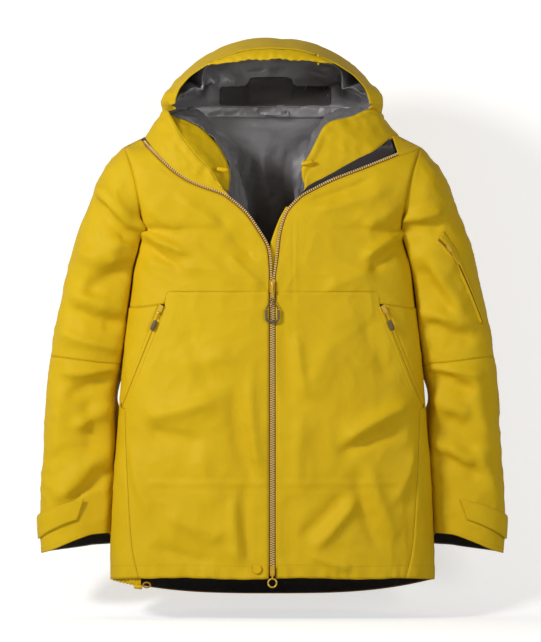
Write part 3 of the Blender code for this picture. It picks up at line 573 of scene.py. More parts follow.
def front_extra(grid):
    """Pressed lines, placket seam and drawcord puckers of the front."""
    x, z = grid[..., 0], grid[..., 2]
    lines = sum(height * ridge(z, at, width) for at, width, height in PRESSED_LINES)
    lines = lines * (np.abs(x) < 205)
    lines = lines - 0.35 * ridge(z, -276, 2.0) * (np.abs(x) > 14) * (np.abs(x) < 190)
    placket = ridge(x, PLACKET_X, 1.6) - 0.6 * ridge(x, PLACKET_X + 4, 3.0)
    lines = lines - 1.0 * placket * np.clip((z + 385) / 12, 0, 1) * np.clip((-150 - z) / 12, 0, 1)
    patches = 0.55 + 0.45 * np.clip(np.sin(x / 37.0) + np.sin(x / 61.0 + 2), 0, 1)
    pucker = 1.8 * np.sin(x / 3.8 + 2.4 * np.sin(x / 17.0)) * ridge(z, -765, 19.0)
    return lines + pucker * patches


def creased_front(grid, keep):
    """Front cloth with its folds, pressed lines and puckers, and the way out of it."""
    ways = outward(grid)
    return folded(grid, FRONT_FOLDS, crumple(grid, 62, 2.4, 3.0) + front_extra(grid), keep), ways


def yoke(low, word):
    """Shoulder strip outside the chin guard, up to the shoulder line."""
    x = np.linspace(198, 243.9, len(low))
    top = np.stack([x, np.where(x > 209, shoulder_line(x) - 0.05, -41.0)], axis=1)
    low = np.stack([low[:, 0], low[:, 1] - 0.1], axis=1)
    low[0] = (206.5, -72.0)
    grid = body_patch(low, top, 8, -1)
    obj = cloth("yoke_" + word, grid, SHELL)
    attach(obj, "torso")


def chest(side, word, edge):
    """Panel above the chest seam, with its edge along the open zip."""
    open_line = smooth([(ZIP_LINE_X, -292), (ZIP_LINE_X, ZIP_OPEN_Z)] + list(edge), 10)
    top = offset_line(open_line, COVER_EDGE)
    top[:, 0] = np.maximum(top[:, 0], COVER_EDGE + ZIP_LINE_X)
    if side > 0:
        yoke_low = [(207.5, -72.6), (218, -70.5), (231, -66), (243.6, -58.7)]
        top = np.concatenate([top[:-2], yoke_low])
        yoke(smooth(yoke_low, 8), word)
    else:
        x = np.linspace(217, 243.9, 7)
        top = np.concatenate([top[:-1], np.stack([x, shoulder_line(x) - 0.05], axis=1)])
    low = [(COVER_EDGE + ZIP_LINE_X, CHEST_SEAM_Z), (171, CHEST_SEAM_Z), (174.5, -303), (177, -317),
           (182, -318), (204, -321.5), (220, UNDERARM_SEAM_Z),
           (float(half_width(UNDERARM_SEAM_Z)), UNDERARM_SEAM_Z)]
    cols = counts(300)
    grid = body_patch(sided(spread(low, cols), side), sided(spread(top, cols), side), counts(268), -1)
    keep = fade(border(grid, (-1,), (-1,)), 14) * fade(border(grid, (), (0,)), 5)
    grid, ways = creased_front(grid, keep)
    far = np.minimum(border(grid, (0,)), border(grid, (-1,), ()) + 50 * (np.abs(grid[..., 0]) > 205))
    grid = grid + ways * seam_shape(far)[..., None]
    sewn("chest_panel_" + word, cloth("chest_" + word, grid, SHELL, ways=ways))
    return grid


side_seam = pchip([(-800, 210.0), (-767, 219.0), (-716, 230.0), (-600, 238.0), (-510, 242.0),
                   (-488, 242.5)])


def pocket_x(z, shift):
    """x of a line beside the pocket zip, going on below it as the side seam."""
    run = np.array(POCKET_END) - np.array(POCKET_TOP)
    run /= np.linalg.norm(run)
    side = np.array([-run[1], run[0]])
    top = np.array(POCKET_TOP) + side * shift
    end = np.array(POCKET_END) + side * shift
    inside = np.interp(z, [end[1], top[1]], [end[0], top[0]])
    return np.where(z >= end[1], inside, side_seam(z) + (shift > 0) * 0.4)


def lower_front(side, word):
    """Panel from the chest seam to the hem, between the main zip and the pocket."""
    z = np.linspace(CHEST_SEAM_Z, FRONT_HEM_Z, counts(469))
    far = pocket_x(z, -POCKET_HALF_GAP)
    far = np.where(z > -318, np.interp(z, [-318, -303, CHEST_SEAM_Z], [176.5, 174.5, 171.0]), far)
    s = np.sin(np.linspace(0, 1, counts(270)) * 1.45) / math.sin(1.45)
    x = (COVER_EDGE + ZIP_LINE_X) + (far[:, None] - COVER_EDGE - ZIP_LINE_X) * s[None]
    grid = body_surface(side * x, np.broadcast_to(z[:, None], x.shape), -1)
    keep = fade(border(grid, (), (0,)), 5) * fade(border(grid, (), (-1,)), 9)
    grid, ways = creased_front(grid, keep)
    hem = ridge(z[:, None], FRONT_HEM_Z, 14)
    grid[..., 2] += (1.3 * np.sin(grid[..., 0] / 31.0) + 0.25 * np.sin(grid[..., 0] / 6.0)) * hem * keep
    edge = border(grid, (0,), (0, -1))
    grid = grid + ways * seam_shape(edge, 0.2)[..., None]
    tuck = grid[0] - ways[0] * 1.5 + np.array([0.0, 0.0, 3.0])
    grid = np.concatenate([tuck[None], grid])
    ways = np.concatenate([ways[:1], ways])
    sewn("front_panel_" + word, cloth("front_" + word, grid, SHELL, ways=ways))
    return grid


def side_panel(side, word):
    """Panel behind the pocket, round to the side of the body."""
    z = np.linspace(UNDERARM_SEAM_Z, FRONT_HEM_Z, counts(448))
    near = np.minimum(pocket_x(z, POCKET_HALF_GAP), half_width(z) - 2.0)
    start = np.arcsin(near / half_width(z))
    across = np.linspace(0, 1, 16)[None]
    turn = start[:, None] + (math.pi / 2 - start[:, None]) * across
    x = half_width(z)[:, None] * np.sin(turn)
    raised = np.interp(x, [177, 182, 204, 220], [6.0, 5.0, 1.5, 0.0])
    drop = (SIDE_HEM_Z - FRONT_HEM_Z) * across * np.linspace(0, 1, len(z))[:, None] ** 4
    z = z[:, None] + raised * np.clip(1 + (z[:, None] - UNDERARM_SEAM_Z) / 60, 0, 1) + drop
    grid = body_surface(side * x, z, -1)
    grid[:, -1, 1] = 0.0
    keep = fade(border(grid, (), (0, -1)), 9)
    grid, ways = creased_front(grid, keep)
    edge = border(grid, (0,), (0,)) + 2.0 * (grid[..., 2] < POCKET_END[1])
    grid = grid + ways * seam_shape(edge)[..., None]
    sewn("side_panel_" + word, cloth("side_" + word, grid, SHELL, ways=ways))
    return grid


def back():
    """Back panel to its dropped hem, with the binding along it."""
    top = [(0, 0), (33, 0), (66, -0.5), (100, -3), (135, -9.5), (165, -20), (196, -35.5)]
    top += [(x, float(shoulder_line(x)) - 0.05) for x in (210, 220, 232, 243.9)]
    half = counts(300)
    top = spread(smooth(top, 6), half)
    ratio = np.sin(np.linspace(0, 1, half) * math.pi / 2)
    low_z = BACK_HEM_Z + (SIDE_HEM_Z - BACK_HEM_Z) * ratio ** 3
    low = np.stack([ratio * half_width(low_z), low_z], axis=1)
    top = np.concatenate([sided(top[:0:-1], -1), top])
    low = np.concatenate([sided(low[:0:-1], -1), low])
    grid = body_patch(low, top, counts(800), 1)
    below = grid[:, 0, 2] < ARMHOLE_Z - ARMHOLE_HALF_HEIGHT
    grid[below, 0, 1] = 0
    grid[below, -1, 1] = 0
    keep = fade(border(grid, (), (0, -1)), 12) * fade(border(grid, (-1,), ()), 10)
    plain = grid.copy()
    ways = outward(grid)
    pucker = 0.8 * np.sin(grid[..., 0] / 4.3) * ridge(grid[..., 2], -782, 10)
    grid = folded(grid, BACK_FOLDS, crumple(grid, 70, 2.2, 9.0) + pucker, keep, -4.0)
    yoke_seam = ridge(grid[..., 2], -150, 2.5)
    edge = border(grid, (-1,), (0, -1))
    grid = grid + ways * (seam_shape(edge) - 0.6 * yoke_seam)[..., None]
    sewn("back_panel", cloth("back", grid, (YELLOW, LINING, EDGE), ways=ways))
    hem = grid[0, 3:-3] - ways[0, 3:-3] * 1.5
    trim = np.stack([hem + np.array([0.0, 0.0, rise]) for rise in (-0.4, 1.0, 2.4)])
    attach(cloth("hem_binding", trim, [EDGE] * 3, 0.8, ways=ways[0, 3:-3]), "torso")
    back_lining(plain, ways)
    return grid


def back_lining(plain, ways):
    """Inner film of the back, and the facing along its hem."""
    skip = max(1, int(66 / (800 / counts(800))))
    depth = 3.0 + 6.5 * fade(border(plain), 25)
    inner = plain - ways * depth[..., None]
    folds = [(-30, -50, 6, -200, 20, -4), (24, -60, 40, -190, 16, 4), (-74, -60, -40, -190, 20, 4),
             (66, -60, 44, -190, 18, -4), (96, -50, 66, -170, 18, 4), (-110, -60, -60, -200, 22, -4),
             (-60, -20, 60, -24, 8, -1.5)]
    lining = inner[skip:, 2:-2]
    push = fold_sum(lining[..., 0], lining[..., 2], folds) + crumple(lining, 75, 4.0, 5.0)
    push = np.clip(push, -9.0, 3.0) * fade(border(lining), 20)
    lining = lining + ways[skip:, 2:-2] * push[..., None]
    sewn("back_lining", cloth("lining_back", lining, [LINING] * 3, 0.5))
    facing = inner[:skip + 1, 2:-2].copy()
    facing[..., 2] += 1.6
    facing = facing - outward(facing) * (1.2 + 1.2 * crumple(facing, 22, 2.4, 2.0))[..., None]
    sewn("hem_facing", cloth("facing_hem", facing, (BLACK, BLACK, EDGE), 0.6))


# ---------------------------------------------------------------- sleeves
def ring_point(ring, turn, lift, side, tilt=0.0):
    """Point on a sleeve section, turn 0 at its outer edge and a quarter turn at its front."""
    x0, z0, x1, z1, depth, mid = ring
    c, s = np.cos(turn), np.sin(turn)
    along = np.sign(c) * np.abs(c) ** (2 / SLEEVE_POWER)
    out = np.sign(s) * np.abs(s) ** (2 / SLEEVE_POWER)
    grow = 1 + lift / (np.hypot(x0 - x1, z0 - z1) / 2)
    x = (x0 + x1) / 2 + (x0 - x1) / 2 * along * grow
    z = (z0 + z1) / 2 + (z0 - z1) / 2 * along * grow + tilt * out * (1 - along) / 2
    return np.stack(np.broadcast_arrays(side * x, mid - (depth + lift) * out, z), axis=-1)


def ring_grid(rings, side):
    """Sleeve cloth through all rings, and the turn of each of its columns."""
    turn = np.linspace(0, 2 * math.pi, counts(340) // 2 * 2, endpoint=False)[None]
    *ring, tilt = [column[:, None] for column in rings.T]
    return ring_point(ring, turn, 0.0, side, tilt), turn


def tube_normals(grid):
    normal = normals(grid, True)
    away = grid - grid.mean(axis=1, keepdims=True)
    return normal * (1.0 if np.sum(normal * away) > 0 else -1.0)


def tube(name, grid, mats, ways):
    """Cloth closed around the arm."""
    centre = grid[..., :2].mean(axis=(0, 1))
    return cloth(name, grid, mats, loop=True, centre=centre, ways=ways)


def sleeve_folds(grid, turn, front, back_folds):
    """Height of the folds, each list only on its side of the sleeve."""
    x, z = np.abs(grid[..., 0]), grid[..., 2]
    facing = np.sin(turn)
    push = fold_sum(x, z, front) * np.clip(facing * 1.25, 0, 1) ** 1.5
    push = push + fold_sum(x, z, back_folds) * np.clip(-facing * 1.25, 0, 1) ** 1.5
    return 9.5 * np.tanh(1.4 * push / 9.5) + crumple(grid, 50, 3.0, 6.0)


def hug(grid, side, c, share):
    """Sleeve drawn in to lie against the side of the body, clear of it."""
    z = grid[..., 2]
    slim = 1 - 0.385 * np.clip(np.abs(grid[..., 1]) / 88, 0, 1) ** 2.6
    near = half_width(z) * slim + 0.8
    across = np.abs(grid[..., 0])
    zone = 1 - 0.62 * ridge(z, -472.0, 58.0)
    pull = np.clip((-c - 0.5) / 0.4, 0, 1) * share * zone
    across = across + (np.minimum(across, near) - across) * pull
    across = np.where(z < -200, np.maximum(across, near), across)
    out = grid.copy()
    out[..., 0] = side * across
    return out


def creased_sleeve(grid, turn, side, keep):
    """Sleeve cloth with its folds and the seam at its upper end, and the way out of it."""
    front = SLEEVE_FRONT_LEFT if side > 0 else SLEEVE_FRONT_RIGHT
    push = sleeve_folds(grid, turn, front, SLEEVE_BACK) * keep
    ways = tube_normals(grid)
    return grid + ways * (push + seam_shape(border(grid, (0,), ())))[..., None], ways


def upper_sleeve(side, word):
    """Sleeve from the armhole to the elbow seam."""
    dense = smooth(UPPER_RINGS, max(3, int(54 / STEP)))
    place = np.linspace(0, len(UPPER_RINGS) - 1, len(dense))
    grid, turn = ring_grid(dense, side)
    c, s = np.cos(turn), np.sin(turn)
    hole_z = ARMHOLE_Z + ARMHOLE_HALF_HEIGHT * c
    hole = np.stack([side * half_width(hole_z), -ARMHOLE_HALF_DEPTH * s, hole_z], axis=-1)
    share = np.clip(1 - place / 1.2, 0, 1)[:, None, None] ** 2
    grid = grid * (1 - share) + hole * share
    grid, ways = creased_sleeve(grid, turn, side, fade(border(grid, (0, -1), ()), 12))
    grid = hug(grid, side, c, np.clip(2 * place - 0.3, 0, 1)[:, None])
    tuck = hole[0] * (1 - 3.0 / np.linalg.norm(hole[0], axis=-1, keepdims=True))
    tuck[..., 1:] = hole[0][..., 1:] * 0.965 + 0.035 * np.array([0.0, ARMHOLE_Z])
    grid = np.concatenate([tuck[None], grid])
    upper = tube("sleeve_" + word, grid, SHELL, np.concatenate([ways[:1], ways]))
    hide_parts("upper_sleeve_" + word)
    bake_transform(upper)


def forearm(side, word):
    """Sleeve from the elbow seam to the cuff, with the facing inside the cuff."""
    dense = smooth(FORE_RINGS, max(3, int(68 / STEP)))
    dense[0] = UPPER_RINGS[-1]
    grid, turn = ring_grid(dense, side)
    keep = fade(border(grid, (0,), ()), 12) * fade(border(grid, (-1,), ()), 25)
    grid, ways = creased_sleeve(grid, turn, side, keep)
    grid = hug(grid, side, np.cos(turn), 1.0)
    upturn = np.clip(np.sin(turn) * 0.8 - np.cos(turn) * 0.6, 0, 1) ** 2
    grid[..., 2] += 7.0 * ridge(border(grid, (-1,), ()), 0, 30) * upturn
    fore = tube("forearm_cloth_" + word, grid, SHELL, ways)
    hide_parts("forearm_" + word)
    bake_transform(fore)
    rows = max(3, int(50 / STEP))
    inner = grid[-rows:] - ways[-rows:] * 3.0
    inner[-1, :, 2] += 1.5
    centre = inner[..., :2].mean(axis=(0, 1))
    cuff = cloth("cuff_lining_" + word, inner, [BLACK] * 3, 0.6, loop=True, centre=centre)
    sewn("cuff_facing_" + word, cuff, "forearm_" + word)
    return grid


def sleeve_spot(rings, place, turn, lift, side):
    """Point above the sleeve at a place between rings and a turn in degrees."""
    low = np.clip(np.asarray(place, float).astype(int), 0, len(rings) - 2)
    table = np.array(rings)
    part = (np.asarray(place, float) - low)[..., None]
    ring = np.moveaxis(table[low] * (1 - part) + table[low + 1] * part, -1, 0)[:6]
    return ring_point(ring, np.radians(turn), lift, side)


def cuff_strap(side, word):
    """Strap round the front of the cuff, from its sewn end to its round one."""
    reach = np.linspace(0, 1, 40)
    top = 3.42 + 0.50 * np.minimum(reach * 1.25, 1)
    low = 4.12 + 0.45 * np.minimum(reach * 1.5, 1) - 0.1 * np.clip(reach - 0.8, 0, None)
    round_off = 0.10 * np.clip((reach - 0.93) / 0.07, 0, 1) ** 3
    grid = []
    for step in np.linspace(0, 1, 12):
        place = (top + round_off) + (low - top - 2 * round_off) * step
        lift = 3.4 + 0.8 * np.exp(-((step - 0.5) / 0.55) ** 4) + 1.2 * reach ** 6
        turns = 104.0 - 128.0 * reach - 9.0 * step * (1 - reach) ** 3
        grid.append(sleeve_spot(FORE_RINGS, place, turns, lift, side))
    grid = np.array(grid)
    centre = np.array([side * 327.0, 26.0])
    obj = cloth("strap_" + word, grid, (YELLOW, BLACK, YELLOW), 1.8, centre=centre)
    sewn("cuff_tab_" + word, obj, "cuff_tab_" + word)
    return grid


# ---------------------------------------------------------------- collar, hood
def ruled(lower, upper, rows, bulge):
    """Rows between two curves, bulging away from the middle of the body."""
    lower, upper = np.array(lower, float), np.array(upper, float)
    grid = []
    for step in np.linspace(0.0, 1.0, rows):
        line = lower + (upper - lower) * step
        out = line * np.array([1.0, 1.0, 0.0])
        out /= np.linalg.norm(out, axis=1, keepdims=True)
        grid.append(line + out * bulge * math.sin(math.pi * step))
    return np.array(grid)


def collar_side(side, word, base, rim):
    """Collar cloth from the neck seam to its corded rim."""
    base_xyz = body_surface([p[0] for p in base], [p[1] for p in base], -1, 1.0)
    low = smooth(sided(np.concatenate([base_xyz, COLLAR_BACK_BASE]), side), 6)
    top = smooth(sided(np.array(rim + COLLAR_BACK_TOP, float), side), 6)
    grid = ruled(low, top, counts(60, 3.5), 2.0)
    tuck = low - unit(low * np.array([1.0, 1.0, 0.0])) * 2.5 - np.array([0.0, 0.0, 4.0])
    grid = np.concatenate([tuck[None], grid])
    rim_far = border(grid, (-1,), ())
    run = np.arange(grid.shape[1])[None]
    pucker = 1.1 * np.sin(run * 0.9) * ridge(rim_far, 9, 7)
    channel = 1.8 * ridge(rim_far, 6, 5) - 1.0 * ridge(rim_far, 14, 3)
    extra = crumple(grid, 34, 3.0, 4.0) * fade(border(grid, (0,), (0,)), 8)
    ways = outward(grid)
    grid = grid + ways * (pucker + channel + extra)[..., None]
    sewn("collar_" + word, cloth("collar_cloth_" + word, grid, SHELL, 1.3, ways=ways))
    return grid


THROAT_RIGHT = [(38, 25, -170), (46, 28, -130), (58, 30, -95), (72, 34, -62), (92, 38, -36),
                (106, 42, -14), (118, 46, 0), (132, 48, 8)]
THROAT_LEFT = [(34, 20, -165), (40, 24, -125), (50, 28, -88), (60, 32, -56), (70, 36, -30), (84, 40, -12),
               (104, 44, 2), (126, 46, 10)]


def throat(word, rim, deep, seed, reach=None):
    """Lining from the collar facing down into the neck."""
    walls = ruled(rim, smooth(deep, 6), counts(70, 4.0), 4.0)
    push = crumple(walls, 26, 5.0, seed)
    if reach:
        push = push * fade(border(walls, (0,), ()), reach)
    return cloth("throat_" + word, walls + outward(walls) * push[..., None], *FILM)


def collars():
    """Both sides of the collar with the linings inside them."""
    base = [(x + 0.2, z + 0.4) for x, z in CHIN_GUARD_TOP]
    left = collar_side(1, "left", base, COLLAR_LEFT_RIM)
    right = collar_side(-1, "right", COLLAR_RIGHT_BASE, COLLAR_RIGHT_RIM)
    rim = right[-1, :6 * 7 + 1] + np.array([0.1, 0.1, 0])
    inner = smooth(sided(FACING_RIGHT_INNER, -1), 6)
    grid = ruled(rim, inner, counts(50, 3.5), 6.0)
    push = crumple(grid, 40, 2.5, 8.0) * fade(border(grid, (0,), ()), 6)
    grid = grid + outward(grid) * push[..., None]
    sewn("collar_facing_right", cloth("facing_right", grid, [YELLOW] * 3, 0.8))
    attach(throat("right", grid[-1] + np.array([0.8, 1.0, 0]), sided(THROAT_RIGHT, -1), 1.0), "torso")
    rim = left[-1, :6 * 7 + 1] + np.array([0.3, 1.3, 0])
    sewn("collar_facing_left", throat("left", rim, THROAT_LEFT, 3.0, 8))


HOOD_CREASES = [
    (-165, 24, -118, 62, 8, -9), (-140, 60, -96, 24, 8, -8), (-96, 70, -60, 50, 9, 5),
    (118, 64, 160, 26, 8, -9), (92, 20, 138, 58, 8, -8), (60, 72, 96, 50, 9, 5),
    (-60, 66, 30, 68, 9, -4), (-110, 14, -96, 60, 7, -6), (104, 14, 118, 50, 7, -6),
]


def hood():
    """Hood shell and lining; gives both grids."""
    fine = max(4, int(34 / STEP))
    half = np.array([smooth(station, fine) for station in HOOD_STATIONS])
    half = np.stack([smooth(half[:, row], fine) for row in range(half.shape[1])])
    mirror = sided(half[:, :0:-1], -1)
    grid = np.concatenate([mirror, half], axis=1)
    rim_far = border(grid, (-1,), ())
    low_far = border(grid, (0,), ())
    run = np.arange(grid.shape[1])[None]
    x = grid[..., 0]
    pucker = 0.7 * np.sin(run * 1.1) * ridge(rim_far, 9, 7) * (np.abs(x) > 90)
    channel = 1.2 * ridge(rim_far, 6, 5) - 0.8 * ridge(rim_far, 15, 3)
    seam = np.abs(np.abs(x) - (62 + 18 * np.clip(rim_far / 240, 0, 1)))
    panel = 0.5 * ridge(seam, 5, 3) - 0.9 * ridge(seam, 0, 2.5)
    soft = crumple(grid, 60, 3.0, 12.0) * fade(low_far, 12) * fade(rim_far, 10)
    fold = fold_sum(x, grid[..., 2], [(120, 20, 168, 50, 9, -4), (-130, 16, -170, 44, 9, -4),
                                      (60, 30, -30, 44, 16, -4), (-70, 24, -120, 60, 14, 4)])
    base = grid
    ways = outward(grid)
    push = pucker + channel + panel + soft + fold * fade(low_far, 12) * fade(rim_far, 20)
    grid = grid + ways * np.maximum(push, -2.5)[..., None]
    hood_shell(grid, ways)
    return grid, hood_lining(base, ways, fine)


def hood_shell(grid, ways):
    """Shell of the hood, with its skirt sewn over the neck seam."""
    x = grid[0, :, 0]
    reach = np.clip((158 - np.abs(x)) / 16, 0, 1)[:, None]
    z = np.interp(np.abs(x), [0, 66, 100, 135, 165], [-3.5, -4.0, -6.5, -13.0, -23.5])
    over = body_surface(x, z, 1, 2.2)
    skirt = grid[0] + (over - grid[0]) * reach - (1 - reach) * np.array([0.0, 0.0, 1.5])
    whole = np.concatenate([skirt[None], grid])
    obj = cloth("hood_cloth", whole, SHELL, 1.2, ways=np.concatenate([ways[:1], ways]))
    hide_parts("hood_shell")
    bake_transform(obj)


def hood_lining(base, ways, fine):
    """Creased inner film of the hood."""
    inner = base - ways * 8.5
    wrinkles = crumple(inner, 34, 9.0, 2.0) + crumple(inner, 80, 8.0, 7.0)
    keep = fade(border(inner, (-1,), ()), 14) * fade(border(inner, (0,), ()), 16)
    wrinkles = wrinkles + fold_sum(inner[..., 0], inner[..., 2], HOOD_CREASES)
    lining = inner + ways * (np.minimum(wrinkles, 3.5) * keep)[..., None]
    trim = max(1, int(3 * fine / 4))
    lining = lining[:-2, trim:-trim]
    obj = cloth("lining_hood", lining, *FILM)
    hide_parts("hood_lining")
    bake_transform(obj)
    return lining


def neck_tape():
    """Band that covers the neck seam inside, from side to side."""
    low = [(-168, 22, -14), (-140, 41, -10), (-104, 54, -8), (-66, 60, -8), (-33, 61.5, -8), (0, 62, -8)]
    top = [(-172, 24, 7), (-146, 42, 9), (-104, 55, 11), (-66, 61, 11), (-33, 63, 11), (0, 63.5, 11)]
    low += [(-x, y, z) for x, y, z in low[-2::-1]]
    top += [(-x, y, z) for x, y, z in top[-2::-1]]
    grid = ruled(smooth(low, 8), smooth(top, 8), 7, 0.0)
    grid[-1, :, 2] += 1.4 * np.sin(grid[-1, :, 0] / 9.0) + 1.0 * np.sin(grid[-1, :, 0] / 23.0)
    grid = grid + outward(grid) * np.minimum(crumple(grid, 20, 3.5, 6.0), 1.0)[..., None]
    obj = cloth("neck_tape", grid, *FILM)
    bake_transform(obj)


def peak(rim):
    """Brim between the hood and its free edge."""
    keep = np.abs(rim[:, 0]) < 101.0
    top = spread(rim[keep], 60)
    top[:, 2] -= 1.2
    top[:, 1] -= 1.0
    low = spread(smooth(BRIM_EDGE, 6), 60)
    run = np.linspace(0, 1, 60)
    low[:, 2] += (0.9 * np.sin(run * 90) + 1.2 * np.sin(run * 23 + 1)) * np.sin(run * math.pi)
    low[:, 1] += 0.8 * np.sin(run * 70)
    grid = ruled(low, top, 9, 3.0)
    grid = grid + outward(grid) * crumple(grid, 18, 1.2, 5.0)[..., None]
    sewn("hood_peak", cloth("peak_cloth", grid, [YELLOW] * 3, 1.4), "hood")


def surface_tree(grid):
    rows, cols = grid.shape[:2]
    verts = [tuple(p) for row in grid for p in row]
    faces = []
    for i in range(rows - 1):
        for j in range(cols - 1):
            k = i * cols + j
            faces.append((k, k + 1, k + cols + 1, k + cols))
    return BVHTree.FromPolygons(verts, faces)


def label(lining):
    """Plain stepped patch on the hood lining."""
    tree = surface_tree(lining)
    outline = [(-87, 16, 40), (-84, 12, 44), (-46, 11, 45), (-40, 11, 50), (-37, 11, 58),
               (-30, 11, 60), (0, 11, 60.5), (24, 11, 60), (31, 11, 58), (34, 11, 50),
               (40, 11, 45), (92, 12, 44), (97, 16, 41)]
    steps = np.linspace(0, len(outline) - 1, 61)
    xs, lows, highs = [np.interp(steps, range(len(outline)), column) for column in zip(*outline)]
    grid = []
    for step in np.linspace(0, 1, 14):
        line = []
        for x, low, high in zip(xs, lows, highs):
            z = low + (high - low) * step
            hit = tree.ray_cast(Vector((x, 0.0, z)), Vector((0.0, 1.0, 0.0)))[0]
            line.append((x, (hit.y if hit else 70.0) - 1.6, z))
        grid.append(line)
    grid = np.array(grid)
    for _ in range(4):  # even out the dents, towards the front only
        inner = grid[1:-1, 1:-1, 1]
        mean = (grid[:-2, 1:-1, 1] + grid[2:, 1:-1, 1] + grid[1:-1, :-2, 1] + grid[1:-1, 2:, 1]) / 4
        grid[1:-1, 1:-1, 1] = np.minimum(inner, mean)
    obj = cloth("label_patch", grid, [LABEL] * 3, 0.6)
    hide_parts("neck_label")
    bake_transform(obj)


# ---------------------------------------------------------------- zips
def solids(name, parts, mat):
    """One mesh from many small blocks, each given as 8 corners in mm."""
    verts, faces = [], []
    for corners in parts:
        k = len(verts)
        verts.extend(corners)
        for face in ((0, 3, 2, 1), (4, 5, 6, 7), (0, 1, 5, 4), (1, 2, 6, 5), (2, 3, 7, 6), (3, 0, 4, 7)):
            faces.append(tuple(k + v for v in face))
    return mesh_piece(name, verts, faces, [mat])


def block(centre, along, across, out, size):
    """Corners of a block of size (along, across, out) with a slimmer top."""
    a, b, c = [v * s / 2 for v, s in zip((along, across, out), size)]
    low = [centre - a - b - c, centre + a - b - c, centre + a + b - c, centre - a + b - c]
    a, b = a * 0.72, b * 0.86
    top = [centre - a - b + c, centre + a - b + c, centre + a + b + c, centre - a + b + c]
    if np.dot(np.cross(along, across), out) < 0:
        low, top = low[::-1], top[::-1]
    return low + top


def unit(v):
    return v / np.maximum(np.linalg.norm(v, axis=-1, keepdims=True), 1e-9)


def frames(points, beside):
    """Tangent, across and outward directions along a line."""
    along = unit(np.gradient(points, axis=0))
    across = beside - points
    across = unit(across - along * np.sum(across * along, axis=1, keepdims=True))
    out = np.cross(along, across)
    out *= np.sign(-np.mean(out[:, 1])) if abs(np.mean(out[:, 1])) > 0.1 else 1.0
    return along, across, out


def zip_line(edge):
    closed = [(ZIP_LINE_X, z) for z in np.linspace(ZIP_BOTTOM_Z, ZIP_OPEN_Z - 6, 120)]
    return np.concatenate([closed, smooth([(ZIP_LINE_X, ZIP_OPEN_Z)] + list(edge), 12)])


def strip(line, near, far, side, count, lift=0.0):
    """Grid between two offsets of a line on the front."""
    grid = []
    for step in np.linspace(near, far, count):
        edge = offset_line(line, step)
        grid.append(body_surface(side * edge[:, 0], edge[:, 1], -1, lift))
    return np.array(grid)


def tooth_row(points, beside, pitch, start, size, shift):
    """Blocks every pitch mm along a line, moved across it by shift."""
    run = run_length(points, 0)
    want = np.arange(start, run[-1], pitch)
    at = np.stack([np.interp(want, run, points[:, i]) for i in range(3)], axis=1)
    side = np.stack([np.interp(want, run, beside[:, i]) for i in range(3)], axis=1)
    along, across, out = frames(at, side)
    return [block(p + b * shift, a, b, c, size) for p, a, b, c in zip(at, along, across, out)]


TOOTH_PITCH, TOOTH_SIZE = 3.8, (2.1, 4.0, 2.2)


def main_zip(side, word, edge):
    """One half of the main zip: its tape and its teeth."""
    line = spread(zip_line(edge), counts(840, 3.0))
    grid = strip(line, 0.2, TAPE_EDGE + 1.6, side, 7, -1.5)
    grid[..., 1] += 1.5 * np.linspace(0, 1, 7)[:, None]
    left = border(grid, (), (-1,))[:1, :, None]
    grid = grid[:1] + (grid - grid[:1]) * np.clip(0.3 + left / 60, 0, 1)
    sewn("zip_tape_" + word, cloth("tape_" + word, grid, [TAPE] * 3, 0.9))
    dense = spread(zip_line(edge), 900)
    points = strip(dense, 0.0, 0.0, side, 1)[0]
    beside = strip(dense, 4.0, 4.0, side, 1)[0]
    start = 0.6 if side > 0 else 0.6 + TOOTH_PITCH / 2
    parts = tooth_row(points, beside, TOOTH_PITCH, start, TOOTH_SIZE, 0.9)
    sewn("zip_chain_" + word, solids("teeth_" + word, parts, TEETH))


# shift across the zip and height of its laminated lips, mm
ZIP_WELT = [(-6.2, -0.2), (-5.2, 0.7), (-4.2, 0.75), (-3.0, 0.35), (-1.5, 0.4), (-1.0, 0.3), (-0.8, -0.8),
            (0.0, -0.9), (0.7, -0.8), (0.9, 0.9), (1.8, 1.2), (3.2, 0.9), (5.0, 0.3), (6.2, -0.2)]


def pocket_zip(side, word):
    """Laminated lips of the pocket zip and its small teeth."""
    top, end = np.array(POCKET_TOP), np.array(POCKET_END)
    run = (end - top) / np.linalg.norm(end - top)
    across = np.array([-run[1], run[0]])
    line = top + (end - top) * np.linspace(0, 1, counts(184))[:, None]
    grid = []
    for shift, lift in ZIP_WELT:
        x = np.minimum(line[:, 0] + across[0] * shift, half_width(line[:, 1]) - 4.5)
        grid.append(body_surface(side * x, line[:, 1] + across[1] * shift, -1, lift))
    grid = np.array(grid)
    sewn("pocket_zip_" + word, cloth("pocket_tape_" + word, grid, (YELLOW, TAPE, YELLOW), 1.0))
    middle = spread(grid[7], 300)
    beside = spread(grid[11], 300)
    parts = tooth_row(middle, beside, 1.6, 1.0, (1.0, 1.5, 0.9), 0.0)
    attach(solids("pocket_teeth_" + word, parts, EDGE), "torso")


def pocket_bag(side, word):
    """Pocket cloth behind the front panel."""
    z = np.linspace(-328.0, -545.0, counts(217, 7.0))
    far = np.interp(z, [-490, -320], [228, 166])
    x = 70.0 + (far[:, None] - 70.0) * np.linspace(0, 1, counts(150, 7.0))[None]
    bag = body_surface(side * x, np.broadcast_to(z[:, None], x.shape), -1, -10.5)
    bag = folded(bag, [], crumple(bag, 40, 1.5, 8.0))
    sewn("pocket_bag_" + word, cloth("pocket_lining_" + word, bag, *FILM))


SLEEVE_ZIP_PATH = [(3.05, 86.0), (3.6, 76.0), (4.2, 66.0), (4.8, 57.0), (5.4, 49.0), (6.0, 41.0)]


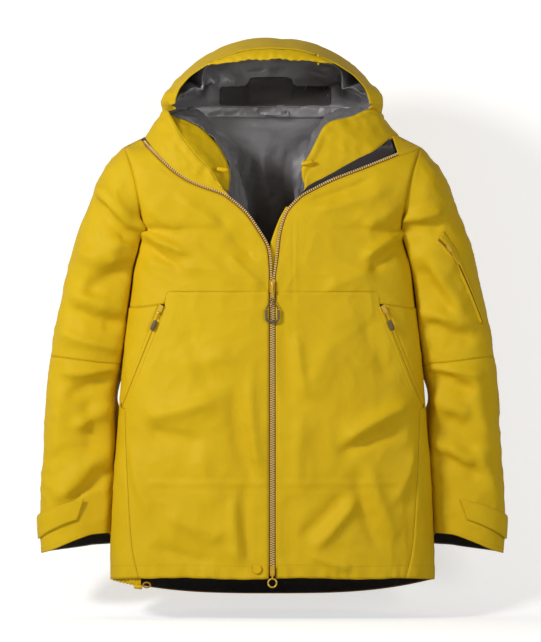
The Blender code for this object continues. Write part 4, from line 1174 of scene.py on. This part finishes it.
def sleeve_zip():
    """Short zip on the left sleeve between a flap and a lip, with its pocket."""
    path = smooth(SLEEVE_ZIP_PATH, 8)
    place, turn = path[:, 0], path[:, 1]
    slim = np.linspace(1.0, 0.45, len(place))
    centre = np.array([300.0, 13.0])

    def band(shifts, lifts):
        return np.array([sleeve_spot(UPPER_RINGS, place, turn + slim * shift, lift, 1)
                         for shift, lift in zip(shifts, lifts)])

    grid = band(np.linspace(-2.0, 3.4, 6), [1.9] * 6)
    obj = cloth("sleeve_zip_tape", grid, [TAPE] * 3, 0.8, centre=centre)
    sewn("sleeve_pocket_zip", obj, "upper_sleeve_left")
    parts = tooth_row(spread(grid[3], 200), spread(grid[5], 200), 1.8, 1.0, (1.1, 1.5, 0.8), 0.0)
    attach(solids("sleeve_zip_teeth", parts, EDGE), "upper_sleeve_left")
    steps = np.linspace(0, 1, 6)
    flap = cloth("sleeve_zip_flap", band(-0.4 - 13.0 * steps, 4.8 - 4.4 * steps ** 1.3), [YELLOW] * 3,
                 0.8, centre=centre)
    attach(flap, "upper_sleeve_left")
    lip = cloth("sleeve_zip_lip", band(2.6 + 9.0 * steps, 3.3 - 3.0 * steps), [YELLOW] * 3,
                0.8, centre=centre)
    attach(lip, "upper_sleeve_left")
    bag = []
    for shift in np.linspace(0.0, 42.0, 10):
        bag.append(sleeve_spot(UPPER_RINGS, place, turn + shift, -11.0, 1))
    obj = cloth("sleeve_pocket_lining", np.array(bag), *FILM, centre=centre)
    sewn("sleeve_pocket_bag", obj, "upper_sleeve_left")


def flaps():
    """Strip behind the main zip, and the lined chin guard at its top."""
    rows = [(-752, -13, 21), (-600, -13, 21), (-450, -13, 21), (-290, -13, 21),
            (-250, -9, 24), (-218, -3, 27), (-181, 10, 36), (-158, 22, 46)]
    dense = smooth(rows, 14)
    x = dense[:, 1:2] + (dense[:, 2:3] - dense[:, 1:2]) * np.linspace(0, 1, 8)[None]
    grid = body_surface(x, np.broadcast_to(dense[:, :1], x.shape), -1, -5.0)
    grid = folded(grid, [], crumple(grid, 30, 0.9, 4.0))
    sewn("storm_flap", cloth("flap_cloth", grid, [YELLOW] * 3, 0.6))
    low = smooth(offset_line(OPEN_EDGE_LEFT[3:10], -1.0), 9)
    top = smooth(CHIN_GUARD_TOP, 9)
    steps = np.linspace(0, 1, 9)[:, None, None]
    flat = low[None] + (top - low)[None] * steps
    grid = body_surface(flat[..., 0], flat[..., 1], -1, 1.0)
    grid = grid + outward(grid) * (1.6 * np.sin(steps * math.pi) ** 0.7)
    grid = folded(grid, [], crumple(grid, 26, 0.9, 6.0))
    sewn("chin_guard", cloth("guard_cloth", grid, [BLACK] * 3, 1.2))


# ---------------------------------------------------------------- stitching
def edge_path(grid, where, distance):
    """Line on a grid that keeps its distance in mm from one border."""
    if where in ("top", "bottom"):
        grid = np.swapaxes(grid, 0, 1)
    if where in ("right", "top"):
        grid = grid[:, ::-1]
    out = []
    for line, lengths in zip(grid, run_length(grid, 1)):
        want = min(distance, lengths[-1])
        out.append([np.interp(want, lengths, line[:, i]) for i in range(3)])
    return np.array(out)


STITCH_PITCH, STITCH_LIFT, STITCH_SIZE = 3.4, 0.12, (2.3, 0.7, 0.45)


def stitch(name, lines, body):
    """Rows of short thread dashes along (points, centre) lines."""
    parts = []
    for points, centre in lines:
        length = np.linalg.norm(np.diff(points, axis=0), axis=1).sum()
        count = max(3, int(length / STITCH_PITCH))
        at = spread(points, count)
        along = unit(np.gradient(at, axis=0))
        away = at - centre
        away[:, 2] *= 0.15
        out = unit(away - along * np.sum(away * along, axis=1, keepdims=True))
        across = np.cross(out, along)
        for p, a, b, c in zip(at[1:-1], along[1:-1], across[1:-1], out[1:-1]):
            parts.append(block(p + c * STITCH_LIFT, a, b, c, STITCH_SIZE))
    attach(solids(name, parts, THREAD), body)


# ---------------------------------------------------------------- hardware
def rounded(node, mat, width):
    """A carried-over node with its finish and softened edges."""
    obj = bpy.data.objects[node]
    obj.data.materials.clear()
    obj.data.materials.append(mat)
    bevel = obj.modifiers.new("edges", "BEVEL")
    bevel.width = width * MM
    bevel.segments = 2
    bevel.limit_method = "ANGLE"
    bevel.angle_limit = math.radians(30)
    bevel.harden_normals = True


def tube_faces(rings, sides, closed=False):
    """Quads between rings of points, joined back to the first ring when closed."""
    faces = []
    for i in range(rings if closed else rings - 1):
        j = (i + 1) % rings
        for k in range(sides):
            n = (k + 1) % sides
            faces.append((i * sides + k, i * sides + n, j * sides + n, j * sides + k))
    return faces


def circle(sides):
    return [2 * math.pi * k / sides for k in range(sides)]


def fitted(obj, body, stands_for):
    if stands_for:
        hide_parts(stands_for)
    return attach(obj, body)


def lathe(name, profile, centre, axis, mat, body, stands_for, turns=28, facing=(0.0, 0.3, 1.0), flat=1.0):
    """Turned solid: (along the axis, radius) rows in mm about a centre, flattened towards facing."""
    axis = unit(np.array(axis, float))
    side = unit(np.cross(axis, facing))
    up = np.cross(axis, side) * flat
    verts = [np.array(centre) + axis * along + (side * math.cos(t) + up * math.sin(t)) * radius
             for along, radius in profile for t in circle(turns)]
    faces = tube_faces(len(profile), turns)
    faces.append(tuple(range(turns))[::-1])
    faces.append(tuple((len(profile) - 1) * turns + k for k in range(turns)))
    return fitted(mesh_piece(name, verts, faces, [mat], [len(f) == 4 for f in faces]), body, stands_for)


def loop_tube(name, points, radius, mat, body, stands_for):
    """Closed round cord through points in mm."""
    sides = 10
    points = np.array(points, float)
    along = unit(np.roll(points, -1, axis=0) - np.roll(points, 1, axis=0))
    side = unit(np.cross(along, np.array([0.0, 1.0, 0.05])))
    up = np.cross(along, side)
    verts = [p + (a * math.cos(t) + b * math.sin(t)) * radius
             for p, a, b in zip(points, side, up) for t in circle(sides)]
    faces = tube_faces(len(points), sides, True)
    return fitted(mesh_piece(name, verts, faces, [mat], [True] * len(faces)), body, stands_for)


def box_middle(node):
    """Middle of a node's box in mm."""
    return np.array([(a + b) * 500 for a, b in zip(*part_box(node))])


# (along the axis, radius) rows of turned pieces, mm
TOGGLE = [(-10, 0.8), (-9.6, 2.2), (-8.2, 3.0), (-5, 3.7), (0, 4.1), (5, 3.9), (8, 3.2), (9.6, 2.0),
          (10, 0.8)]
BUTTON = [(0.2, 7.3), (1.6, 7.5), (2.3, 7.1), (2.5, 6.2), (2.2, 5.4), (2.1, 4.0), (2.3, 1.5)]
EYELET = [(-0.6, 1.2), (0.1, 2.6), (0.6, 2.5), (0.8, 1.9), (0.6, 1.2), (0.1, 0.9), (-0.3, 0.3)]


def eyelets(shell):
    """Eyelets set into the hood where the brim cord comes out."""
    ways = outward(shell)
    for word in ("left", "right"):
        far = np.linalg.norm(shell - box_middle("brim_eyelet_" + word), axis=2)
        row, col = np.unravel_index(np.argmin(far), far.shape)
        lathe("eyelet_" + word, EYELET, shell[row, col], ways[row, col], TAUPE, "hood",
              "brim_eyelet_" + word)


GRIP = [(-9.0, 1.0), (-8.6, 2.4), (-7.4, 3.3), (-5.5, 3.7), (0.0, 3.8), (5.5, 3.7), (7.4, 3.3), (8.6, 2.4),
        (9.0, 1.0)]


def pocket_grips():
    """Moulded bars on the pocket pulls."""
    for side, word in ((1, "left"), (-1, "right")):
        node = "pocket_pull_grip_" + word
        hang = (side * 0.372, 0.133, -0.919)
        lathe("pocket_grip_" + word, GRIP, box_middle(node), hang, TAUPE, "pocket_pull_" + word, node, 24,
              (side * 0.2, -1.0, 0.0), 0.6)


ROD = [(-1.0, 0.3), (-0.96, 0.75), (-0.85, 1.0), (0.85, 1.0), (0.96, 0.75), (1.0, 0.3)]


def rod(name, start, end, radius, mat, body, flat=1.0):
    """Round-ended bar between two points in mm."""
    start, end = np.array(start, float), np.array(end, float)
    half = np.linalg.norm(end - start) / 2
    profile = [(along * half, size * radius) for along, size in ROD]
    return lathe(name, profile, (start + end) / 2, end - start, mat, body, None, 14,
                 (0.0, -1.0, 0.0), flat)


def brim_ends(rim):
    """Cord stub and turned hem at the ends of the peak."""
    at = rim[np.argmin(np.abs(rim[:, 0] + 92))]
    rod("brim_cord_end", at + (-12.0, -2.2, -7.0), at + (6.0, -2.6, 0.5), 1.6, STUD, "hood")
    at = rim[np.argmin(np.abs(rim[:, 0] - 74))]
    rod("brim_keeper", at + (-2.0, -1.6, 3.0), at + (-1.0, -2.2, -15.0), 1.7, YELLOW, "hood", flat=0.6)


def slider_crown():
    """Bridge on the face of the main zip slider."""
    low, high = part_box("main_slider")
    x, z = box_middle("main_slider")[::2]
    y, reach = low.y / MM + 0.2, (high.z - low.z) / MM * 0.36
    rod("main_slider_crown", (x, y, z - reach), (x, y, z + reach), 2.2, ENAMEL, "main_slider", flat=0.6)


def hem_gather():
    """Side hem bunched up by its cord, with the cord lock."""
    x = np.linspace(-262.0, -216.0, 48)
    reach = np.linspace(0, 1, 48)
    pleat = np.sin(x / 0.9)
    grid = []
    for step in np.linspace(0, 1, 7):
        low = -764.0 - step * (8.0 + 9.0 * reach)
        y = body_surface(x, low, -1)[:, 1] + 5.0 + 1.3 * pleat * step + 2.0 * step
        grid.append(np.stack([x, y, low + 0.8 * pleat * step], axis=1))
    obj = cloth("hem_gather", np.array(grid), (YELLOW, YELLOW, EDGE), 0.8)
    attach(obj, "torso")
    low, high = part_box("hem_cord_lock")
    half = (high.x - low.x) * 500
    lathe("hem_lock", [(along * half, size * 3.6) for along, size in ROD], box_middle("hem_cord_lock"),
          (1, 0, -0.1), STUD, "torso", "hem_cord_lock", 20)


def small_fittings():
    """Toggles, press stud, hem cord and the turned parts of the pulls."""
    hem_gather()
    pocket_grips()
    slider_crown()
    for word, centre, lean in (("left", (57, -82.5, -86), 0.22), ("right", (-81, -86.5, -97), -0.12)):
        lathe("toggle_" + word, TOGGLE, centre, (1, 0, lean), STUD, "torso", "hood_toggle_" + word)
    x, z = box_middle("press_stud")[::2]
    back_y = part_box("press_stud")[1].y / MM - 0.2
    lathe("stud", BUTTON, (x, back_y, z), (0, -1, 0), STUD, "torso", "press_stud")
    x, y, z = box_middle("hem_tab")
    turn = np.array(circle(22))
    ring = np.stack([x + 6.0 * np.cos(turn), y + 0 * turn, z - 1 + 4.2 * np.sin(turn)], axis=1)
    loop_tube("hem_loop", ring, 1.3, EDGE, "torso", "hem_tab")


def hardware():
    """Finish and edge radius in mm of the carried-over nodes."""
    for mat, width, nodes in (
            (ENAMEL, 0.5, ("main_slider", "bottom_slider")),
            (ENAMEL, 0.3, ("pocket_slider_left", "pocket_slider_right", "sleeve_slider", "sleeve_pull",
                           "pocket_pull_tab_left", "pocket_pull_tab_right")),
            (ENAMEL, 0.2, ("bottom_ring_pull",)), (ENAMEL, 0.25, ("main_pull_tab",)),
            (CORD, 0.3, ("main_pull_cord",)), (TAUPE, 0.5, ("main_pull_grip",)),
            (LINING, 0.2, ("hanger_loop",))):
        for node in nodes:
            rounded(node, mat, width)


# ---------------------------------------------------------------- studio
PAPER_REACH, PAPER_Z, PAPER_BEND = 9.0, -0.835, 0.3  # metres


def area_light(name, place, aim, size, power):
    data = bpy.data.lights.new(name, "AREA")
    data.shape = "SQUARE"
    data.size = size
    data.energy = power
    lamp = link(bpy.data.objects.new(name, data))
    lamp.location = place
    lamp.rotation_euler = (Vector(aim) - Vector(place)).to_track_quat("-Z", "Y").to_euler()


def glow_for_camera(tree, low, high, target, entry):
    """Strength that is high for what the camera sees and low for the light it gives."""
    rays = add_node(tree, "LightPath")
    level = add_node(tree, "MapRange", To_Min=low, To_Max=high)
    wire(tree, rays, "Is Camera Ray", level, "Value")
    wire(tree, level, "Result", target, entry)
    return rays


def plain_white(name, glow):
    """White paper that shows only from its front."""
    mat, tree, shader = nodes_of(name)
    set_inputs(shader, Base_Color=(0.60, 0.60, 0.60, 1), Roughness=0.9, Specular_IOR_Level=0.0,
               Emission_Color=(1, 1, 1, 1))
    glow_for_camera(tree, 0.0, glow, shader, "Emission Strength")
    seen = add_node(tree, "NewGeometry")
    clear = add_node(tree, "BsdfTransparent")
    mix = add_node(tree, "MixShader")
    wire(tree, seen, "Backfacing", mix, "Fac")
    wire(tree, shader, "BSDF", mix, 1)
    wire(tree, clear, "BSDF", mix, 2)
    wire(tree, mix, "Shader", tree.nodes["Material Output"], "Surface")
    return mat


def studio():
    """Sweep of white paper, a key and a fill light, and a pale world."""
    turn = np.linspace(0, math.pi / 2, 12)
    profile = [(-PAPER_REACH, PAPER_Z)]
    profile += [(PAPER_BEND * math.sin(t), PAPER_Z + PAPER_BEND * (1 - math.cos(t))) for t in turn]
    profile.append((PAPER_BEND, 6.0))
    verts = [(x, y, z) for y, z in profile for x in (-PAPER_REACH, PAPER_REACH)]
    faces = [(2 * i, 2 * i + 1, 2 * i + 3, 2 * i + 2) for i in range(len(profile) - 1)]
    paper = [plain_white("sweep_white", 0.62)]
    mesh_piece("sweep", np.array(verts) / MM, faces, paper, [True] * len(faces))
    area_light("key", (-1.85, -1.8, 0.75), (0, 0, -0.20), 0.5, 52.0)
    area_light("fill", (1.7, -2.9, 0.2), (0, 0, -0.4), 1.0, 27.0)
    world = bpy.data.worlds.new("studio")
    world.use_nodes = True
    bpy.context.scene.world = world
    tree = world.node_tree
    sky = tree.nodes["Background"]
    rays = glow_for_camera(tree, 0.15, 1.0, sky, "Strength")
    tint = add_node(tree, "MixRGB", Color1=(1.0, 0.85, 0.62, 1), Color2=(1, 1, 1, 1))
    wire(tree, rays, "Is Camera Ray", tint, "Fac")
    wire(tree, tint, "Color", sky, "Color")


# ---------------------------------------------------------------- assembly
def body_stitching(word, upper, front, side):
    """Rows of stitches beside the zip, the chest seam and the hem."""
    centre = np.zeros(3)
    lines = [(edge_path(upper, "top", 2.6), centre), (edge_path(upper, "bottom", 2.2)[3:-3], centre),
             (edge_path(front, "left", 2.6)[2:], centre), (edge_path(front, "top", 22.0), centre),
             (edge_path(side, "top", 22.0), centre)]
    stitch("stitches_front_" + word, lines, "torso")


def build():
    for side, word, edge in ((1, "left", OPEN_EDGE_LEFT), (-1, "right", OPEN_EDGE_RIGHT)):
        upper = chest(side, word, edge)
        body_stitching(word, upper, lower_front(side, word), side_panel(side, word))
        main_zip(side, word, edge)
        pocket_zip(side, word)
        pocket_bag(side, word)
        upper_sleeve(side, word)
        arm = forearm(side, word)
        middle = arm[-1].mean(axis=0)
        hem = np.concatenate([arm[-3], arm[-3][:1]])
        stitch("stitches_cuff_" + word, [(hem, middle)], "forearm_" + word)
        strap = cuff_strap(side, word)
        inset = [edge_path(strap, where, 2.4)[2:-2] for where in ("top", "bottom", "right")]
        stitch("stitches_strap_" + word, [(line, middle) for line in inset], "cuff_tab_" + word)
    panel = back()
    rows = [edge_path(panel, "top", 3.0)[4:-4], edge_path(panel, "bottom", 24.0),
            edge_path(panel, "left", 3.5), edge_path(panel, "right", 3.5)]
    stitch("stitches_back", [(row, np.zeros(3)) for row in rows], "torso")
    flaps()
    collars()
    shell, lining = hood()
    eyelets(shell)
    brim_ends(shell[-1])
    peak(shell[-1])
    neck_tape()
    label(lining)
    sleeve_zip()
    small_fittings()
    hardware()
    studio()


build()
